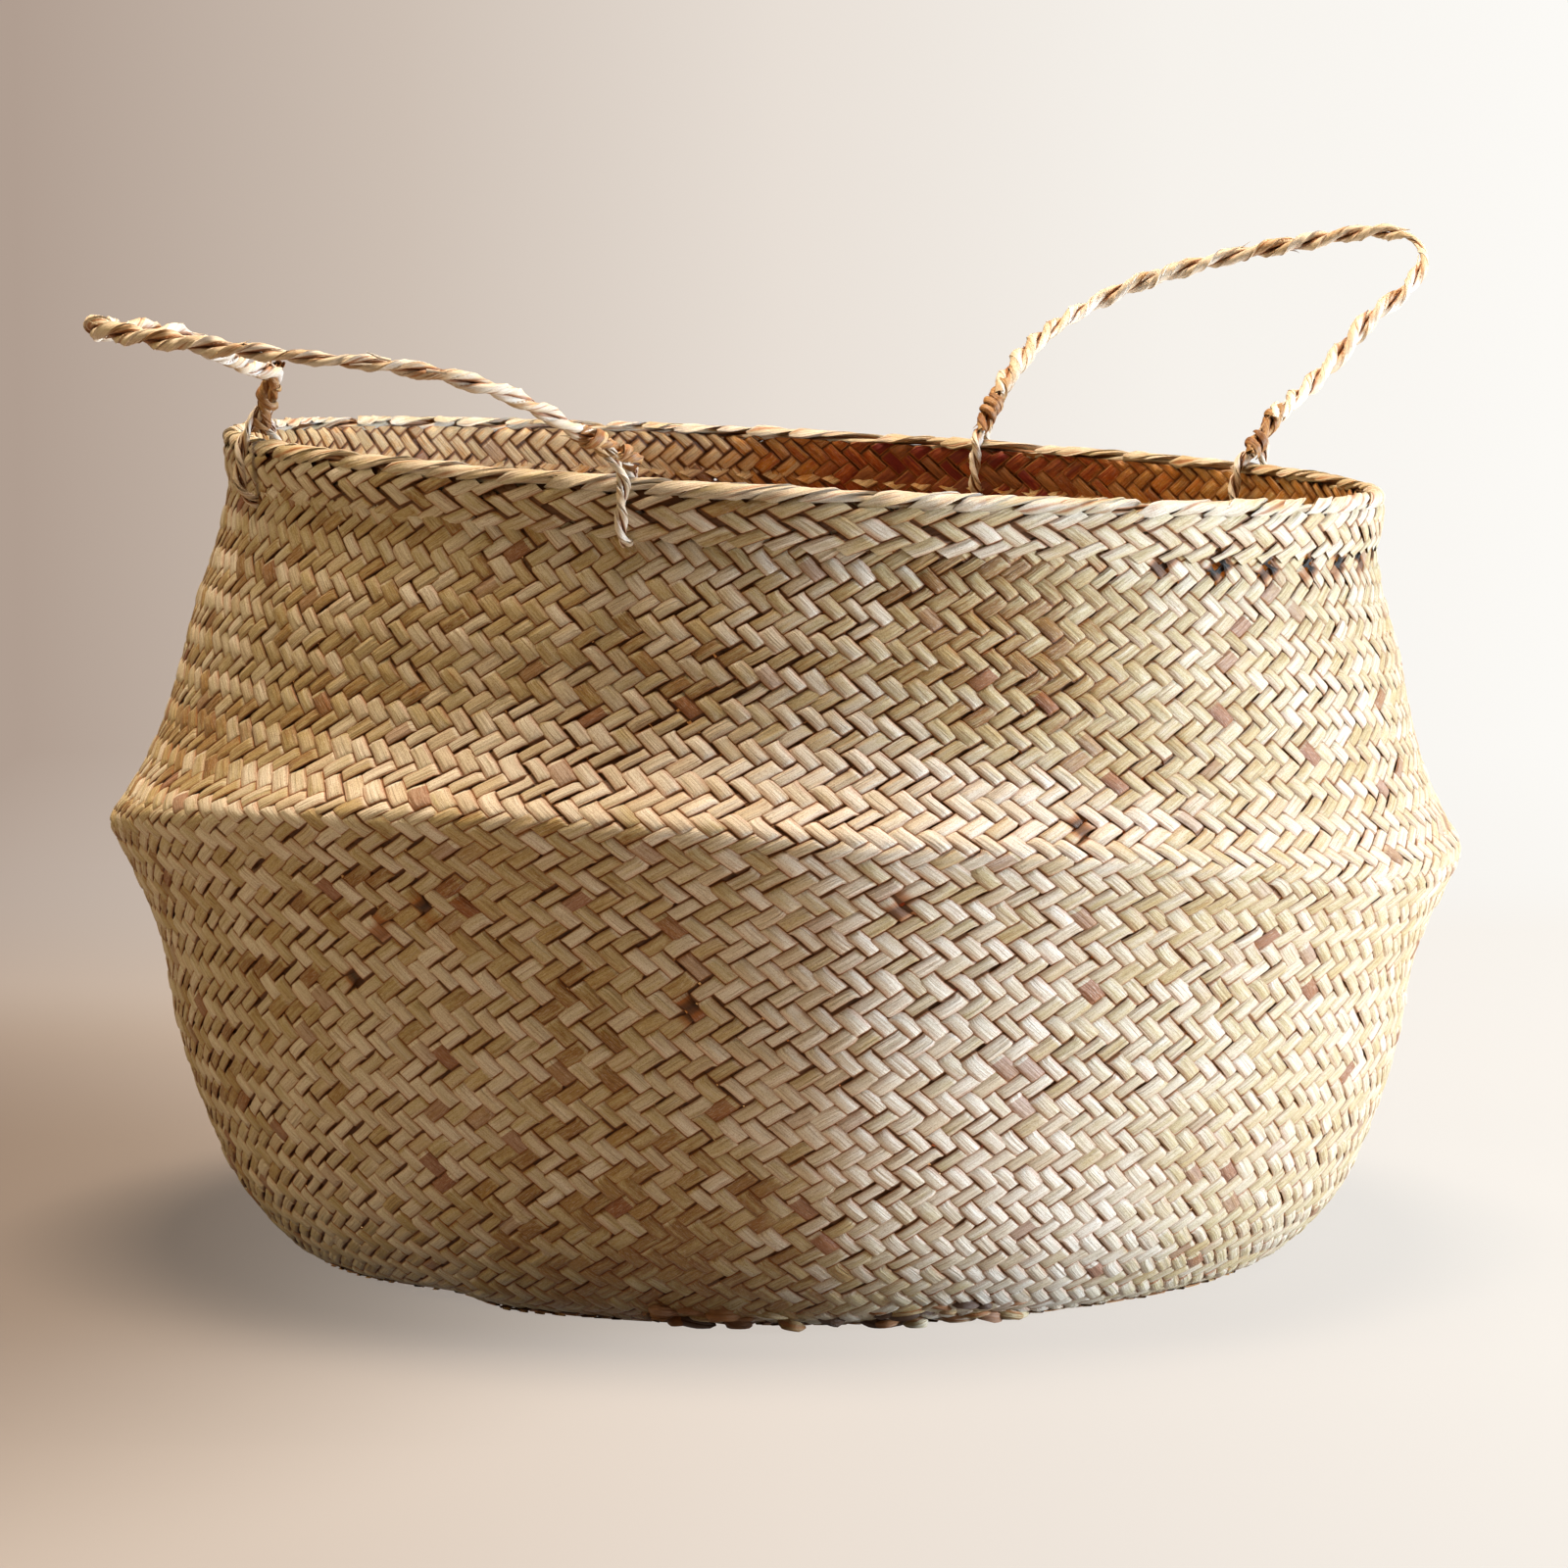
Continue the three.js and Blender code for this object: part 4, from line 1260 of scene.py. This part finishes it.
def floor_material():
    n = Nodes("pale_sweep")
    n.tree.nodes.remove(n.tree.nodes["Principled BSDF"])
    across, depth, _ = n.split(n.add("NewGeometry").outputs["Position"])
    spread = n.maths("DIVIDE", n.plus(depth, CAMERA_BACK), SWEEP_DEPTH + CAMERA_BACK)
    level = n.maths("DIVIDE", across, n.maths("MAXIMUM", spread, 1.0))
    share = n.remap(level, -SWEEP_HALF_WIDTH, SWEEP_HALF_WIDTH, way="LINEAR")
    off = [
        n.maths("DIVIDE", n.maths("SUBTRACT", value, at), size)
        for value, at, size in zip((across, depth), PAINTED_SHADOW["at"], PAINTED_SHADOW["size"])
    ]
    far_off = n.plus(*(n.times(value, value) for value in off))
    # Painted shadow to the left of the basket.
    shadow_share = n.remap(far_off, 0.0, 1.0, PAINTED_SHADOW["share"], 0.0)
    colour = n.mix(shadow_share, n.ramp(share, SWEEP_STOPS), PAINTED_SHADOW["tint"], "MULTIPLY")
    near = n.mix(1.0, colour, FLOOR_TONE, "MULTIPLY")
    warm = n.mix(1.0, near, BOUNCE_TINT, "MULTIPLY")
    glow = n.add("Emission", {"Color": colour, "Strength": 1.0}).outputs[0]
    lit = n.add("BsdfDiffuse", {"Color": near}).outputs[0]
    fade = n.maths("MAXIMUM", n.remap(depth, *FLOOR_FADE), n.remap(across, *FLOOR_TURN, *FLOOR_OWN_LIGHT))
    seen = n.add("MixShader", {0: fade, 1: lit, 2: glow}).outputs[0]
    strength = n.remap(across, BOUNCE["from"], BOUNCE["to"], 0.0, BOUNCE["strength"])
    strength = n.times(strength, n.remap(depth, *BOUNCE_BACK))
    bounce_glow = n.add("Emission", {"Color": BOUNCE["colour"], "Strength": strength}).outputs[0]
    shaded = n.add("BsdfDiffuse", {"Color": warm}).outputs[0]
    bounced = n.add("AddShader", {0: shaded, 1: bounce_glow}).outputs[0]
    path = n.add("LightPath").outputs
    seen_ray = n.maths("MAXIMUM", path["Is Camera Ray"], path["Is Glossy Ray"])
    seen_ray = n.maths("MAXIMUM", seen_ray, path["Is Transmission Ray"])
    mixed = n.add("MixShader", {0: seen_ray, 1: bounced, 2: seen}).outputs[0]
    n.feed(n.tree.nodes["Material Output"].inputs["Surface"], mixed)
    return n.material


# %% Set the stage
SIDE = 8.0
BACKDROP_Y = 5.0
BACK_EDGE = [(SIDE, BACKDROP_Y, 0), (-SIDE, BACKDROP_Y, 0)]
sweep = floor_material()


def flat_sheet(name, corners):
    mesh = bpy.data.meshes.new(name)
    mesh.from_pydata(corners, [], [(0, 1, 2, 3)])
    mesh.materials.append(sweep)
    sheet = new_object(name, mesh)


flat_sheet("floor", [(-SIDE, -SIDE, 0), (SIDE, -SIDE, 0)] + BACK_EDGE)
flat_sheet("backdrop", BACK_EDGE[::-1] + [(SIDE, BACKDROP_Y, SIDE), (-SIDE, BACKDROP_Y, SIDE)])

# %% Light it
LAMPS = (  # name, place, size, power in watts and colour
    ("window", (2.48, -0.3, 0.32), (1.1, 0.6), 113, (0.77, 0.89, 1.0)),
    ("overhead", (0.0, 0.05, 2.3), (1.0, 1.0), 92, (1.0, 0.78, 0.55)),
    ("warm_left", (-2.43, -0.21, 1.01), (1.0, 1.0), 17, (1.0, 0.76, 0.36)),
)
LAMP_TARGET = Vector((0, 0, 0.12))
WORLD = {"Color": (1.0, 0.74, 0.42, 1), "Strength": 0.1}


def area_lamp(name, place, size, power, colour):
    lamp = new_object(name, bpy.data.lights.new(name, "AREA"))
    lamp.data.shape = "RECTANGLE"
    lamp.data.size, lamp.data.size_y = size
    lamp.data.energy = power
    lamp.data.color = colour
    lamp.location = place
    lamp.rotation_euler = (LAMP_TARGET - Vector(place)).to_track_quat("-Z", "Y").to_euler()
    return lamp


lamps = [area_lamp(*lamp) for lamp in LAMPS]
scene = bpy.context.scene
scene.world = bpy.data.worlds.new("room")
scene.world.use_nodes = True
for key, value in WORLD.items():
    scene.world.node_tree.nodes["Background"].inputs[key].default_value = value
scene.view_settings.view_transform = "Standard"
print("lamps:", ", ".join(lamp.name for lamp in lamps))
